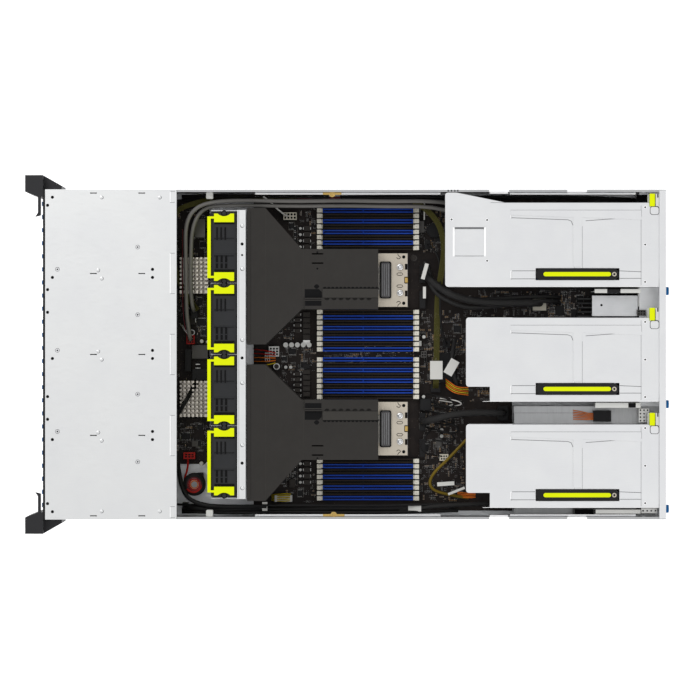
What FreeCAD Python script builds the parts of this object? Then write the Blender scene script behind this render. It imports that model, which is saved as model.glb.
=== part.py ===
import FreeCAD
import Part
import math
import os
import re

import Sketcher
from FreeCAD import Vector

# A 2U rack server with its rear top cover off, in millimetres.
# +Z is up, the drive bays face -Y and the power supplies face +Y.
# Pieces are drawn by depth behind the chassis front; each node is then moved
# so that the origin lies under the middle of the whole server.

BAYS = 24
FANS = 4
BLADES = 7
SLOTS_PER_BANK = 8
FINS = 17
VENTS = 6
VENT_COLUMNS = 13
VENT_ROWS = 2

SIZES = {
    # Chassis
    "body_width": 444, "body_length": 838, "body_height": 88, "sheet": 1.2, "gap": 0.3,
    "hem": 3.4, "front_rim": 3, "cover_rear": 180, "pin_fit": 0.05,
    "rail_inset": 5.4, "rail_low": 70, "rail_high": 82, "rail_front": 285, "rail_break": 535,
    "rail_resume": 628, "rail_end": 798, "slide_hole": 4.5, "slide_hole_z": 44,
    "slide_hole_rear": 812,
    # Rack ears
    "ear_span": 482.6, "ear_reach": 24, "ear_front": 219, "ear_root": 212.2, "ear_step": 6.7,
    "wing_depth": 24, "wing_tip": 227.6, "wing_low": 14, "wing_high": 74,
    "brow_inner": 187, "brow_thick": 3.6, "brow_lip": 3.7, "ear_hollow": 17,
    "rack_span": 465.1, "rack_pitch": 76.2, "rack_hole": 7, "rack_recess": 12, "rack_flange": 4,
    "button_dish": 0.4, "button_x": 229, "button_z": 60, "button_radius": 4, "button_length": 5,
    "button_travel": 1.2,
    # Drive bays
    "bay_pitch": 17.65, "carrier_width": 17, "sled_width": 15.4, "bezel_depth": 11,
    "carrier_length": 148, "rail_height": 4, "vent_width": 11, "vent_height": 4, "vent_pitch": 8,
    "vent_depth": 7, "drive_width": 69.8, "drive_thick": 14.8, "drive_length": 100.4, "drive_front": 51,
    "tab_reach": 2.5, "tab_width": 5.6, "tab_height": 20, "guide_thick": 1.2, "guide_height": 9,
    # Drive backplane and the expander board behind it
    "backplane_front": 156, "board_thick": 1.6, "plug_width": 8, "plug_height": 34,
    "window_width": 7, "window_height": 30, "expander_front": 160, "expander_rear": 220.5,
    "expander_left": 212, "expander_right": 150, "expander_z": 14,
    "sink_left_x": -107.5, "sink_right_x": 60.5, "pin_sink_width": 49, "pin_sink_front": 181.5,
    "pin_sink_length": 38.5, "pin_sink_height": 26, "pin_base": 4, "pin_pitch": 5.6, "pin_groove": 2.8,
    # Fans
    "fan_pitch": 96.2, "fan_depth": 225.6, "fan_length": 35.4, "fan_width": 94, "fan_height": 80,
    "fan_bore": 77, "hub_radius": 18, "hub_length": 24, "shaft_radius": 2, "motor_radius": 17,
    "motor_length": 5, "strut_width": 4, "intake": 3, "blade_chord": 20, "blade_twist": 7,
    "blade_thick": 1.6, "blade_root": 16, "blade_tip": 37.4, "blade_camber": 3.2, "blade_lean": 3,
    "bail_front": 221, "bail_thick": 4.6, "bail_width": 83, "bail_height": 3.4, "grip_front": 230,
    "grip_rear": 257, "grip_x": 39.5, "grip_width": 11.6, "grip_notch": 12, "grip_bite": 3.6,
    "cage_half": 194.4, "bar_rear": 273, "bar_top": 86,
    # Air ducts
    "duct_front": 274.2, "duct_shoulder": 299, "duct_neck": 348, "duct_rear": 451, "duct_inner": 13.5,
    "duct_outer": 197.4, "neck_inner": 61, "neck_outer": 142, "duct_wall": 1.8, "duct_top": 82,
    "strip_width": 15, "strip_front": 352, "strip_height": 2.6, "scallop": 3.2, "scallop_pitch": 9.4,
    "duct_slot_width": 1.8, "duct_slot_length": 15.4, "duct_slot_front": 361.6,
    # Main board
    "standoff": 6, "standoff_radius": 3, "board_front": 281, "board_rear": 741, "board_step": 635,
    "board_half": 214, "board_step_x": 64,
    # Processor heat sinks
    "sink_x": 101.5, "sink_screw_half": 17.65, "plate_width": 73, "plate_front": 379,
    "plate_rear": 492, "plate_z": 16, "plate_thick": 3, "socket_inset": 4, "fin_rear": 448,
    "fin_top": 76, "fin_pitch": 3.9, "fin_gap": 2.7, "fin_half": 34, "clip_front": 454,
    "clip_rear": 469, "clip_width": 49, "clip_height": 9,
    # Memory slots
    "bank_inner": 32.4, "bank_outer": 171, "slot_pitch": 7.3, "slot_front": 375.5, "slot_length": 124,
    "slot_width": 5.6, "slot_height": 8.6, "slot_groove": 1.8, "groove_depth": 5, "latch_length": 7.6,
    "latch_width": 5.7, "latch_height": 17,
    # Power supplies
    "supply_width": 73.5, "supply_height": 40, "supply_front": 645, "supply_rear": 822,
    "supply_edge": 0.4, "divider": 1, "bay_front": 636, "loop_reach": 14, "loop_width": 34,
    "loop_bar": 6, "lever_width": 7, "inlet_width": 27, "inlet_height": 20,
    "supply_fan": 36,
    # Riser cages
    "riser_rear": 828.6, "riser_top": 86.2, "riser_low": 43.3, "riser_corner": 4,
    "riser1_left": -217.7, "riser1_right": -91, "riser1_front": 541, "riser1_shift": 13.2,
    "riser1_slant_front": 556.6, "riser1_slant_rear": 621,
    "riser2_left": -49.7, "riser2_right": 63.4, "riser3_left": 93.8, "riser3_right": 206.2,
    "riser_front": 569, "notch_rear": 601, "notch_width": 20, "emboss": 0.5,
    "beam_front": 629, "beam_rear": 805, "web_front": 713, "web_rear": 725, "beam_inset": 10.5,
    "beam_narrow": 6.5, "beam_wide": 13, "panel_front": 552, "panel_rear": 595,
    "panel_left": -171, "panel_right": -132, "card_inset": 9, "card_front": 592, "card_rear": 745,
    "card_high": 80, "bracket_low": 48, "bracket_height": 15, "bracket_pitch": 18,
    "bracket_width": 98,
    # Riser handles
    "handle_inset": 17, "handle_front": 663, "handle_rear": 774, "handle_width": 15.5,
    "handle_high": 87.7, "handle_low": 81.5, "strip_in": 10, "lime_width": 5.7, "handle_swing": 1.3,
    "hinge_back": 5, "hinge_radius": 1.5,
    # Riser latches
    "catch_front": 816, "catch_length": 7.2, "catch_width": 17, "catch_high": 87.6, "catch_thick": 2.4,
    "catch_drop": 1.9,
    "catch1_x": -207.8, "catch2_x": -54.3, "catch3_x": 87, "catch_pin": 1.1,
    # Rear panel and its fasteners
    "rear_band": 829, "shelf_front": 806, "shelf_top": 43, "vent_radius": 2.2, "vent_left": -46,
    "vent_low": 14,
    "panel_pitch": 5.2, "knob_reach": 4.5,
    "knob_radius": 5.6, "knob_z": 76, "knob1_x": -85.5, "knob2_x": 67, "knob3_x": 208,
    # Drive bay cover
    "station": 109, "pair": 10.9, "cover_hole": 4.2, "cover_slot": 9, "cover_slot_width": 1.3,
    "screw_radius": 2.9, "screw_head": 0.8,
    "press": 0.4,
    # Cables
    "cable_thick": 5.6, "cable_thin": 3, "cable_loom": 8, "cable_sleeve": 11,
}

doc = FreeCAD.newDocument("rack_server")
sheet = doc.addObject("Spreadsheet::Sheet", "Sizes")
for row, (name, size) in enumerate(SIZES.items(), 1):
    sheet.set(f"A{row}", name)
    sheet.set(f"B{row}", str(size))
    sheet.setAlias(f"B{row}", name)
doc.recompute()

# The middle of the server, as a depth behind the chassis front.
MIDDLE = "(body_length + knob_reach - ear_reach) / 2"
# Places that several pieces share.
WALL_INNER = "body_width / 2 - sheet"
LID_LOW = "body_height - sheet"
CAGE_FLOOR = "2 * sheet"
CARRIER_LOW = "2 * sheet + gap"
CARRIER_HIGH = "body_height - 3 * sheet - gap"
# The underside of the drive cage's roof, which lies below the tray's hems.
CAGE_ROOF = "body_height - 3 * sheet"
BOARD_LOW = "sheet + standoff"
BOARD_TOP = "sheet + standoff + board_thick"
FAN_LOW = "2 * sheet + gap"
FAN_TOP = "2 * sheet + gap + fan_height"
FAN_AXIS = "2 * sheet + gap + fan_height / 2"
FAN_REAR = "fan_depth + fan_length"
PANEL_FACE = "body_length - sheet"
SUPPLY_LOW = "sheet + gap"
BAY_TOP = "sheet + 2 * gap + supply_height"
BAY_LEFT = "body_width / 2 - sheet - supply_edge - 2 * supply_width - divider - 3 * gap"
COVER_SCREWS = [(f"{at} - pair / 2", "19.5") for at in ("-station", "0", "station")]
COVER_SCREWS += [(f"{side} * station * {share}", "127.5") for side in (-1, 1) for share in (0.49, 1.325)]
STANDOFFS = [(x, y) for x in ("-board_half + 8", "-board_half * 0.27", "board_step_x - 14")
             for y in ("board_front + 12", "(board_front + board_step) / 2", "board_rear - 12")]
STANDOFFS += [("board_half - 8", "board_front + 12"), ("board_half - 8", "board_step - 12")]

WORD = re.compile(r"[a-z][a-z_0-9]*")


def cells(text):
    """Turns an expression in size names into one that reads the sheet's cells."""
    return WORD.sub(lambda word: f"Sizes.{word.group()}" if word.group() in SIZES else word.group(), text)


def value(text):
    """Works out an expression in size names."""
    return float(sheet.evalExpression(cells(text)))


def bind(item, prop, text):
    """Binds a property to an expression in size names."""
    item.setExpression(prop, cells(text))


def place(item, x="0", y="0", z="0"):
    """Binds the place of an object."""
    for axis, text in zip("xyz", (x, y, z)):
        bind(item, f"Placement.Base.{axis}", text)


def add(low, size):
    """The span that starts at low and is size long."""
    return (low, f"({low}) + ({size})")


def about(middle, size):
    """The span of a size about its middle."""
    return (f"({middle}) - ({size}) / 2", f"({middle}) + ({size}) / 2")


def box(name, x, y, z):
    """A block between pairs of x, depth and z."""
    block = doc.addObject("Part::Box", name)
    for prop, (low, high) in zip(("Length", "Width", "Height"), (x, y, z)):
        bind(block, prop, f"({high}) - ({low})")
    place(block, x[0], y[0], z[0])
    return block


UPWARD = FreeCAD.Rotation()
REARWARD = FreeCAD.Rotation(Vector(1, 0, 0), -90)
SIDEWARD = FreeCAD.Rotation(Vector(0, 1, 0), 90)


def rod(name, radius, start, length, turn=UPWARD):
    """A cylinder that starts at a point and runs along the turned z axis."""
    cylinder = doc.addObject("Part::Cylinder", name)
    cylinder.Placement = FreeCAD.Placement(Vector(), turn)
    bind(cylinder, "Radius", radius)
    bind(cylinder, "Height", length)
    place(cylinder, *start)
    return cylinder


def cut(name, base, tool):
    """One piece less another."""
    result = doc.addObject("Part::Cut", name)
    result.Base = base
    result.Tool = tool
    return result


def group(name, pieces, x="0", y="0", z="0"):
    """Pieces that stay separate solids, moved together."""
    result = doc.addObject("Part::Compound", name)
    result.Links = pieces
    place(result, x, y, z)
    return result


NODES = []


def node(name, pieces, x="0", z="0"):
    """A named sub-part of the server, moved from depths to the server's origin."""
    result = group(name, pieces, x, f"-({MIDDLE})", z)
    result.Label = name
    NODES.append(result)
    return result


def body(name):
    """An empty PartDesign body."""
    return doc.addObject("PartDesign::Body", name)


def plane(part, role):
    """One of a body's origin planes or axes."""
    return next(item for item in part.Origin.OriginFeatures if item.Role == role)


def rect(x, y):
    """The corners of a rectangle between two pairs."""
    return [(x[0], y[0]), (x[1], y[0]), (x[1], y[1]), (x[0], y[1])]


def mirrored(corners):
    """A right half outline, from the middle and back to it, with its left half."""
    return corners + [(f"-({x})", y) for x, y in reversed(corners)]


def sketch(part, name, role, offset, outlines=(), circles=()):
    """A sketch of closed outlines and circles whose corners and centres are bound to the sheet."""
    drawing = part.newObject("Sketcher::SketchObject", name)
    drawing.AttachmentSupport = (plane(part, role), [""])
    drawing.MapMode = "FlatFace"
    bind(drawing, "AttachmentOffset.Base.z", offset)
    for outline in outlines:
        first = drawing.GeometryCount
        count = len(outline)
        points = [Vector(value(x), value(y), 0) for x, y in outline]
        for index in range(count):
            drawing.addGeometry(Part.LineSegment(points[index], points[(index + 1) % count]))
        for index in range(count):
            drawing.addConstraint(
                Sketcher.Constraint("Coincident", first + index, 2, first + (index + 1) % count, 1))
        for index, texts in enumerate(outline):
            pin_point(drawing, first + index, 1, texts, points[index])
    for x, y, radius in circles:
        centre = Vector(value(x), value(y), 0)
        circle = drawing.addGeometry(Part.Circle(centre, Vector(0, 0, 1), value(radius)))
        pin_point(drawing, circle, 3, (x, y), centre)
        index = drawing.addConstraint(Sketcher.Constraint("Radius", circle, value(radius)))
        bind(drawing, f"Constraints[{index}]", radius)
    return drawing


def pin_point(drawing, geometry, vertex, texts, point):
    """Ties a sketch point to two expressions."""
    for kind, text, number in zip(("DistanceX", "DistanceY"), texts, (point.x, point.y)):
        index = drawing.addConstraint(Sketcher.Constraint(kind, -1, 1, geometry, vertex, number))
        bind(drawing, f"Constraints[{index}]", text)


def pad(part, name, role, span, outlines=(), circles=()):
    """Adds the prism of an outline between two places along its plane's axis."""
    low, high = span
    offset = f"-({high})" if role == "XZ_Plane" else low
    feature = part.newObject("PartDesign::Pad", name)
    feature.Profile = sketch(part, f"{name}_sketch", role, offset, outlines, circles)
    bind(feature, "Length", f"({high}) - ({low})")
    return feature


def pocket(part, name, role, span, outlines=(), circles=()):
    """Cuts the prism of an outline between two places along its plane's axis."""
    low, high = span
    offset = f"-({low})" if role == "XZ_Plane" else high
    feature = part.newObject("PartDesign::Pocket", name)
    feature.Profile = sketch(part, f"{name}_sketch", role, offset, outlines, circles)
    bind(feature, "Length", f"({high}) - ({low})")
    return feature


def repeat(part, name, feature, axis, pitch, count):
    """Repeats a feature in a row along an axis of its body."""
    row = part.newObject("PartDesign::LinearPattern", name)
    row.Originals = [feature]
    row.Direction = (plane(part, axis), [""])
    row.Occurrences = count
    bind(row, "Length", f"({pitch}) * {count - 1}")
    part.Tip = row
    return row


def grid(part, name, feature, across, up):
    """Repeats a feature over rows and columns; each direction is an axis, a pitch and a count."""
    pattern = repeat(part, name, feature, *across)
    axis, pitch, count = up
    pattern.Direction2 = (plane(part, axis), [""])
    pattern.Occurrences2 = count
    bind(pattern, "Length2", f"({pitch}) * {count - 1}")
    return pattern


def hexagon(x, z, radius):
    """The corners of an upright hexagon about a centre."""
    turns = [(0, 1), (0.866, 0.5), (0.866, -0.5), (0, -1), (-0.866, -0.5), (-0.866, 0.5)]
    return [(f"{x} + {radius} * {across}", f"{z} + {radius} * {up}") for across, up in turns]


def round_corners(part, name, feature, radius, spots):
    """Rounds the upright edges of a feature at the given x and depth places."""
    doc.recompute()
    places = [Vector(value(x), value(y), 0) for x, y in spots]
    edges = []
    for index, edge in enumerate(feature.Shape.Edges, 1):
        ends = [Vector(item.X, item.Y, 0) for item in edge.Vertexes]
        if len(ends) == 2 and (ends[0] - ends[1]).Length < 1e-6:
            if any((ends[0] - spot).Length < 0.01 for spot in places):
                edges.append(f"Edge{index}")
    fillet = part.newObject("PartDesign::Fillet", name)
    fillet.Base = (feature, edges)
    bind(fillet, "Radius", radius)
    return fillet


# Chassis ---------------------------------------------------------------------------------------

def chassis_tray():
    """A pressed tray: floor, side walls with a hem, stiffening rails and board standoffs."""
    tray = body("tray_shell")
    half = "body_width / 2"
    wall = WALL_INNER
    profile = mirrored([(half, "0"), (half, LID_LOW), (f"{half} - hem", LID_LOW),
                        (f"{half} - hem", f"{LID_LOW} - sheet"), (wall, f"{LID_LOW} - sheet"),
                        (wall, "sheet")])
    pad(tray, "tray_fold", "XZ_Plane", ("front_rim", "body_length"), [profile])
    stretches = (("rail_front", "rail_break"), ("rail_resume", "rail_end"))
    for number, stretch in enumerate(stretches, 1):
        lip = f"{half} - rail_inset"
        left = [(f"-({wall})", "rail_low"), (f"-({lip})", "rail_low"), (f"-({lip})", "rail_high"),
                (f"-({lip} + sheet)", "rail_high"), (f"-({lip} + sheet)", "rail_low + sheet"),
                (f"-({wall})", "rail_low + sheet")]
        right = [(f"-({x})", z) for x, z in left]
        pad(tray, f"tray_rails_{number}", "XZ_Plane", stretch, [left, right])
    posts = [hexagon(x, y, "standoff_radius") for x, y in STANDOFFS]
    pad(tray, "tray_standoffs", "XY_Plane", ("sheet / 2", BOARD_LOW), posts)
    studs = [hexagon(x, y, "standoff_radius") for x in ("-expander_left + 10", "expander_right - 10")
             for y in ("cover_rear", "expander_rear - 8")]
    pad(tray, "expander_standoffs", "XY_Plane", ("sheet / 2", "expander_z"), studs)
    places = [(y, "slide_hole_z", "slide_hole / 2")
              for y in ("rail_front", "(rail_front + slide_hole_rear) / 2", "slide_hole_rear")]
    pocket(tray, "slide_holes", "YZ_Plane", (f"-({half} + 1)", f"{half} + 1"), circles=places)
    node("chassis_tray", [tray])


def drive_bay_cover():
    """The screwed lid over the drive bays, with its holes, slots and pressed panels."""
    lid = body("cover_plate")
    half = "body_width / 2"
    pad(lid, "cover_sheet", "XY_Plane", (LID_LOW, "body_height"),
        [rect((f"-({half})", half), ("front_rim", "cover_rear"))])
    stations = ("-station", "0", "station")
    holes = [(f"{at} {side} pair / 2", y, "cover_hole / 2")
             for at in stations for side, y in (("+", "147.4"), ("-", "147.4"), ("+", "12.8"))]
    holes += [(f"{side} * station * {share}", "6.3", "cover_hole / 2")
              for side in ("-1", "1") for share in (0.52, 0.8, 1.84)]
    holes += [(f"{side} * station * 1.94", "12.8", "cover_hole / 2") for side in ("-1", "1")]
    pocket(lid, "cover_holes", "XY_Plane", (LID_LOW, "body_height"), circles=holes)
    dimples = [(x, y, "screw_radius + gap / 3") for x, y in COVER_SCREWS]
    pocket(lid, "cover_dimples", "XY_Plane", ("body_height - screw_head", "body_height"), circles=dimples)
    slots = [rect(about(f"{number} * (station - 0.2)", "cover_slot_width"), about(y, "cover_slot"))
             for number in (-1, 0, 1) for y in ("68", "133")]
    slots += [rect(about(f"{side} * ({half} - 5)", "cover_slot_width"), about(y, "cover_slot"))
              for side in (-1, 1) for y in ("68", "133")]
    pocket(lid, "cover_slots", "XY_Plane", (LID_LOW, "body_height"), slots)
    face = ("body_height - press", "body_height")
    panels = [rect(about(f"{number} * station", "station / 2"), ("172", "177.5")) for number in (-1, 0, 1)]
    panels += [rect(about(f"{side} * ({half} - 10)", "15"), ("172", "177.5")) for side in (-1, 1)]
    pocket(lid, "cover_panels", "XY_Plane", face, panels)
    node("drive_bay_cover", [lid])


def drive_cage():
    """The drive bay frame: a box with guide ribs below and above, and a rim round the bay mouth."""
    cage = body("cage_frame")
    outer = (f"-({WALL_INNER})", WALL_INNER)
    inner = (f"-({WALL_INNER} - sheet)", f"{WALL_INNER} - sheet")
    pad(cage, "cage_box", "XZ_Plane", ("front_rim", "expander_front"),
        [rect(outer, ("sheet", f"{CAGE_ROOF} + sheet")), rect(inner, (CAGE_FLOOR, CAGE_ROOF))])
    mouth = f"bay_pitch * {BAYS} / 2 + gap"
    pad(cage, "cage_rim", "XZ_Plane", ("0", "front_rim"),
        [rect(("-body_width / 2", "body_width / 2"), ("0", "body_height")),
         rect((f"-({mouth})", mouth), (CAGE_FLOOR, CAGE_ROOF))])
    first = f"-bay_pitch * {BAYS // 2 - 1}"
    run = ("bezel_depth + 3", "drive_front + drive_length - 4")
    for name, span in (("low", add("sheet * 1.5", "guide_height")),
                       ("high", (f"{CAGE_ROOF} + sheet / 2 - guide_height", f"{CAGE_ROOF} + sheet / 2"))):
        rib = pad(cage, f"cage_guide_{name}", "XZ_Plane", run, [rect(about(first, "guide_thick"), span)])
        repeat(cage, f"cage_guides_{name}", rib, "X_Axis", "bay_pitch", BAYS - 1)
    node("drive_cage", [cage])


def carrier_pieces():
    """One drive carrier: a vented bezel with two rails, its release tab and the drive."""
    sled = body("carrier_sled")
    face = rect(about("0", "carrier_width"), (CARRIER_LOW, CARRIER_HIGH))
    pad(sled, "bezel", "XZ_Plane", ("0", "bezel_depth"), [face])
    side = about("0", "sled_width")
    rails = [rect(side, add(CARRIER_LOW, "rail_height")),
             rect(side, (f"{CARRIER_HIGH} - rail_height", CARRIER_HIGH))]
    pad(sled, "rails", "XZ_Plane", ("bezel_depth", "carrier_length"), rails)
    vent = pocket(sled, "vent", "XZ_Plane", ("0", "vent_depth"),
                  [rect(about("0", "vent_width"), about(f"{CARRIER_LOW} + 12", "vent_height"))])
    repeat(sled, "vents", vent, "Z_Axis", "vent_pitch", VENTS)
    tab = body("carrier_tab")
    height = add(f"{CARRIER_HIGH} - tab_height - 3", "tab_height")
    pad(tab, "tab_plate", "YZ_Plane", about("0", "tab_width"),
        [[("0", height[0]), ("0", height[1]), ("-tab_reach * 0.6", height[1]),
          ("-tab_reach", f"({height[1]}) - tab_height / 5"),
          ("-tab_reach", f"({height[0]}) + tab_height / 5"),
          ("-tab_reach * 0.6", height[0])]])
    middle = "(body_height) / 2"
    drive = box("drive", about("0", "drive_thick"), add("drive_front", "drive_length"),
                about(middle, "drive_width"))
    return [sled, tab, drive]


def drive_carriers():
    """The row of hot-plug drive carriers."""
    pieces = carrier_pieces()
    for number in range(BAYS):
        node(f"drive_carrier_{number + 1:02d}", pieces, x=f"bay_pitch * {number - (BAYS - 1) / 2}")


def pin_sink(name, x):
    """A small heat sink with a grid of square pins."""
    sink = body(name)
    depth = add("pin_sink_front", "pin_sink_length")
    across = about(x, "pin_sink_width")
    top = f"{EXPANDER_TOP} + pin_sink_height"
    pad(sink, f"{name}_block", "XY_Plane", (EXPANDER_TOP, top), [rect(across, depth)])
    span = (f"{EXPANDER_TOP} + pin_base", top)
    start = f"({across[0]}) + pin_pitch - pin_groove"
    lane = pocket(sink, f"{name}_lane", "XY_Plane", span, [rect(add(start, "pin_groove"), depth)])
    repeat(sink, f"{name}_lanes", lane, "X_Axis", "pin_pitch", 8)
    row = pocket(sink, f"{name}_row", "XY_Plane", span,
                 [rect(across, add(f"{depth[0]} + pin_pitch - pin_groove", "pin_groove"))])
    repeat(sink, f"{name}_rows", row, "Y_Axis", "pin_pitch", 6)
    return sink


EXPANDER_TOP = "expander_z + board_thick"


def drive_backplane():
    """The upright backplane with its drive plugs, and the level expander board behind it."""
    upright = body("backplane_board")
    inner = f"{WALL_INNER} - sheet"
    pad(upright, "backplane_sheet", "XZ_Plane", add("backplane_front", "board_thick"),
        [rect((f"-({inner})", inner), (CAGE_FLOOR, CAGE_ROOF))])
    first = f"-bay_pitch * {BAYS // 2 - 1}"
    window = pocket(upright, "window", "XZ_Plane", add("backplane_front", "board_thick"),
                    [rect(about(first, "window_width"), about("body_height * 0.7", "window_height"))])
    repeat(upright, "windows", window, "X_Axis", "bay_pitch", BAYS - 1)
    plugs = [box(f"drive_plug_{number + 1}", about(f"bay_pitch * {number - (BAYS - 1) / 2}", "plug_width"),
                 ("drive_front + drive_length + gap", "backplane_front"),
                 about("body_height / 2 - 12", "plug_height")) for number in range(BAYS)]
    level = body("expander_board")
    pad(level, "expander_sheet", "XY_Plane", add("expander_z", "board_thick"),
        [rect(("-expander_left", "expander_right"), ("expander_front", "expander_rear"))])
    sinks = [pin_sink("pin_sink_left", "sink_left_x"), pin_sink("pin_sink_right", "sink_right_x")]
    top = EXPANDER_TOP
    spots = {"signal_plug_left": ("-171.5", "25", "202", "14", "28"),
             "power_plug_mid": ("-20", "12", "190", "11", "14"),
             "power_plug_right": ("138", "9", "186", "16", "16"),
             "signal_plug_mid": ("-60", "22", "196", "9", "12"),
             "signal_plug_far": ("8", "30", "188", "8", "12"), "chip_left": ("-45", "14", "184", "14", "2"),
             "chip_right": ("110", "14", "200", "14", "2")}
    plugs += [box(name, about(x, width), add(y, length), add(top, height))
              for name, (x, width, y, length, height) in spots.items()]
    plugs += [box("ear_plug_1", about("168", "12"), add("204", "8"), ("sheet", "22")),
              box("ear_plug_2", about("207", "9"), add("184", "8"), ("sheet", "24"))]
    node("drive_backplane", [upright, level] + sinks + plugs)


def ear(name, side, with_button):
    """One moulded rack ear, with its rear wing, its brow over the outer drives and its screw holes."""
    piece = body(name)
    span = "ear_span / 2"
    rim = "body_width / 2"
    corners = [("ear_front", "-ear_reach"), (span, "-ear_reach"), (span, "0"), ("ear_root", "0"),
               ("ear_root", "-ear_step")]
    wing = [(span, "0"), ("wing_tip", "wing_depth"), (f"{rim} + gap / 3", "wing_depth"),
            (f"{rim} + gap / 3", "0")]
    near = "-tab_reach - gap"
    brow = [("ear_root", near), ("brow_inner", near), ("brow_inner - brow_lip / 2", "-ear_step - brow_lip"),
            ("brow_inner + brow_lip", "-ear_step"), ("ear_root", "-ear_step")]
    turn = [[(f"{side} * ({x})", y) for x, y in outline] for outline in (corners, wing, brow)]
    pad(piece, f"{name}_block", "XY_Plane", ("0", "body_height"), [turn[0]])
    pad(piece, f"{name}_wing", "XY_Plane", ("wing_low", "wing_high"), [turn[1]])
    pad(piece, f"{name}_brow", "XY_Plane", ("body_height - brow_thick", "body_height"), [turn[2]])
    at = f"{side} * rack_span / 2"
    heights = [f"body_height / 2 {sign} rack_pitch / 2" for sign in "+-"]
    pocket(piece, f"{name}_recess", "XZ_Plane", ("-ear_reach", "-rack_flange"),
           [rect(about(at, "rack_recess"), about(height, "rack_recess * 0.8")) for height in heights])
    pocket(piece, f"{name}_holes", "XZ_Plane", ("-ear_reach", "0"),
           circles=[(at, height, "rack_hole / 2") for height in heights])
    if with_button:
        pocket(piece, f"{name}_well", "XZ_Plane", add("-ear_reach", "button_length + button_travel + gap"),
               circles=[("button_x", "button_z", "button_radius + pin_fit")])
    else:
        pocket(piece, f"{name}_port", "XZ_Plane", add("-ear_reach", "ear_hollow / 2"),
               [rect(about("-button_x", "5.6"), about("button_z", "13"))])
    return piece


def rack_ears():
    """Both rack ears, and the power button that slides in the right one."""
    node("rack_ears", [ear("ear_left", "-1", False), ear("ear_right", "1", True)])
    button = body("button_cap")
    low = "-ear_reach"
    pad(button, "button_disc", "XZ_Plane", add(low, "button_length"),
        circles=[("button_x", "button_z", "button_radius")])
    pocket(button, "button_dish", "XZ_Plane", add(low, "button_dish"),
           circles=[("button_x", "button_z", "button_radius * 0.7")])
    node("power_button", [button])


# Fans ------------------------------------------------------------------------------------------

def fan_cage():
    """The folded fan carrier: floor, slotted rear wall, top bar and dividers between the fans."""
    cage = body("fan_bracket")
    span = ("-cage_half", "cage_half")
    rear = f"{FAN_REAR} + gap"
    fold = [("fan_depth - 2", "sheet"), ("bar_rear", "sheet"), ("bar_rear", CAGE_FLOOR),
            (f"{rear} + sheet", CAGE_FLOOR), (f"{rear} + sheet", "bar_top - sheet"),
            ("bar_rear - sheet", "bar_top - sheet"), ("bar_rear - sheet", "bar_top - 10"),
            ("bar_rear", "bar_top - 10"), ("bar_rear", "bar_top"), (rear, "bar_top"), (rear, CAGE_FLOOR),
            ("fan_depth - 2", CAGE_FLOOR)]
    pad(cage, "fan_fold", "YZ_Plane", span, [fold])
    centres = [f"fan_pitch * {number - (FANS - 1) / 2}" for number in range(FANS)]
    pocket(cage, "fan_openings", "XZ_Plane", add(rear, "sheet"),
           circles=[(x, FAN_AXIS, "fan_bore / 2") for x in centres])
    edges = [f"fan_pitch * {number}" for number in range(1 - FANS // 2, FANS // 2)]
    dividers = [rect(about(x, "sheet"), ("fan_depth", rear)) for x in edges]
    dividers += [rect(x, ("fan_depth", rear)) for x in (add("-cage_half", "sheet"),
                                                        ("cage_half - sheet", "cage_half"))]
    pad(cage, "fan_dividers", "XY_Plane", ("sheet * 1.5", f"{FAN_TOP} - 8"), dividers)
    node("fan_cage", [cage])


def fan_frame():
    """A fan housing with a round bore, a motor mount on four struts and slots in its roof."""
    frame = body("fan_housing")
    depth = ("fan_depth", FAN_REAR)
    pad(frame, "housing_block", "XZ_Plane", depth, [rect(about("0", "fan_width"), (FAN_LOW, FAN_TOP))])
    pocket(frame, "housing_bore", "XZ_Plane", depth, circles=[("0", FAN_AXIS, "fan_bore / 2")])
    mount = (f"{FAN_REAR} - motor_length", FAN_REAR)
    pad(frame, "motor_mount", "XZ_Plane", mount, circles=[("0", FAN_AXIS, "motor_radius")])
    reach = "fan_bore / 2 + 0.5"
    level = [rect(about(f"{side} * ({reach} + motor_radius) / 2", f"{reach} - motor_radius + 2"),
                  about(FAN_AXIS, "strut_width")) for side in (-1, 1)]
    tall = [rect(about("0", "strut_width"),
                 about(f"{FAN_AXIS} + {side} * ({reach} + motor_radius) / 2",
                       f"{reach} - motor_radius + 2"))
            for side in (-1, 1)]
    pad(frame, "motor_struts", "XZ_Plane", mount, level + tall)
    pocket(frame, "bearing_bore", "XZ_Plane", mount, circles=[("0", FAN_AXIS, "shaft_radius + pin_fit")])
    slot = pocket(frame, "roof_slot", "XY_Plane", (f"{FAN_TOP} - sheet", FAN_TOP),
                  [rect(about("-fan_width / 8", "2"), ("grip_front", "grip_rear"))])
    repeat(frame, "roof_slots", slot, "X_Axis", "fan_width / 16", 5)
    return frame


def fan_bail():
    """The carrying bail: a front bar that runs into two finger grips with bitten outer edges."""
    bail = body("fan_bail")
    rear_of_bar = "bail_front + bail_thick"
    inner = "grip_x - grip_width / 2"
    outer = "grip_x + grip_width / 2"
    half = [("bail_width / 2", "bail_front"), ("bail_width / 2", "grip_front"), (outer, "grip_front"),
            (outer, "grip_rear"), (inner, "grip_rear"), (inner, "grip_front"),
            ("bail_width / 2 - 3", "grip_front"), ("bail_width / 2 - 3", rear_of_bar)]
    pad(bail, "bail_plate", "XY_Plane", add(FAN_TOP, "bail_height"), [mirrored(half)])
    middle = "(grip_front + grip_rear) / 2"
    bites = [(f"{side} * ({outer} + grip_notch - grip_bite)", middle, "grip_notch") for side in (-1, 1)]
    pocket(bail, "bail_bites", "XY_Plane", add(FAN_TOP, "bail_height"), circles=bites)
    pad(bail, "bail_apron", "XY_Plane", (f"{FAN_TOP} - 20", FAN_TOP),
        [rect(about("0", "bail_width"), add("bail_front", "bail_thick"))])
    return bail


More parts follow.
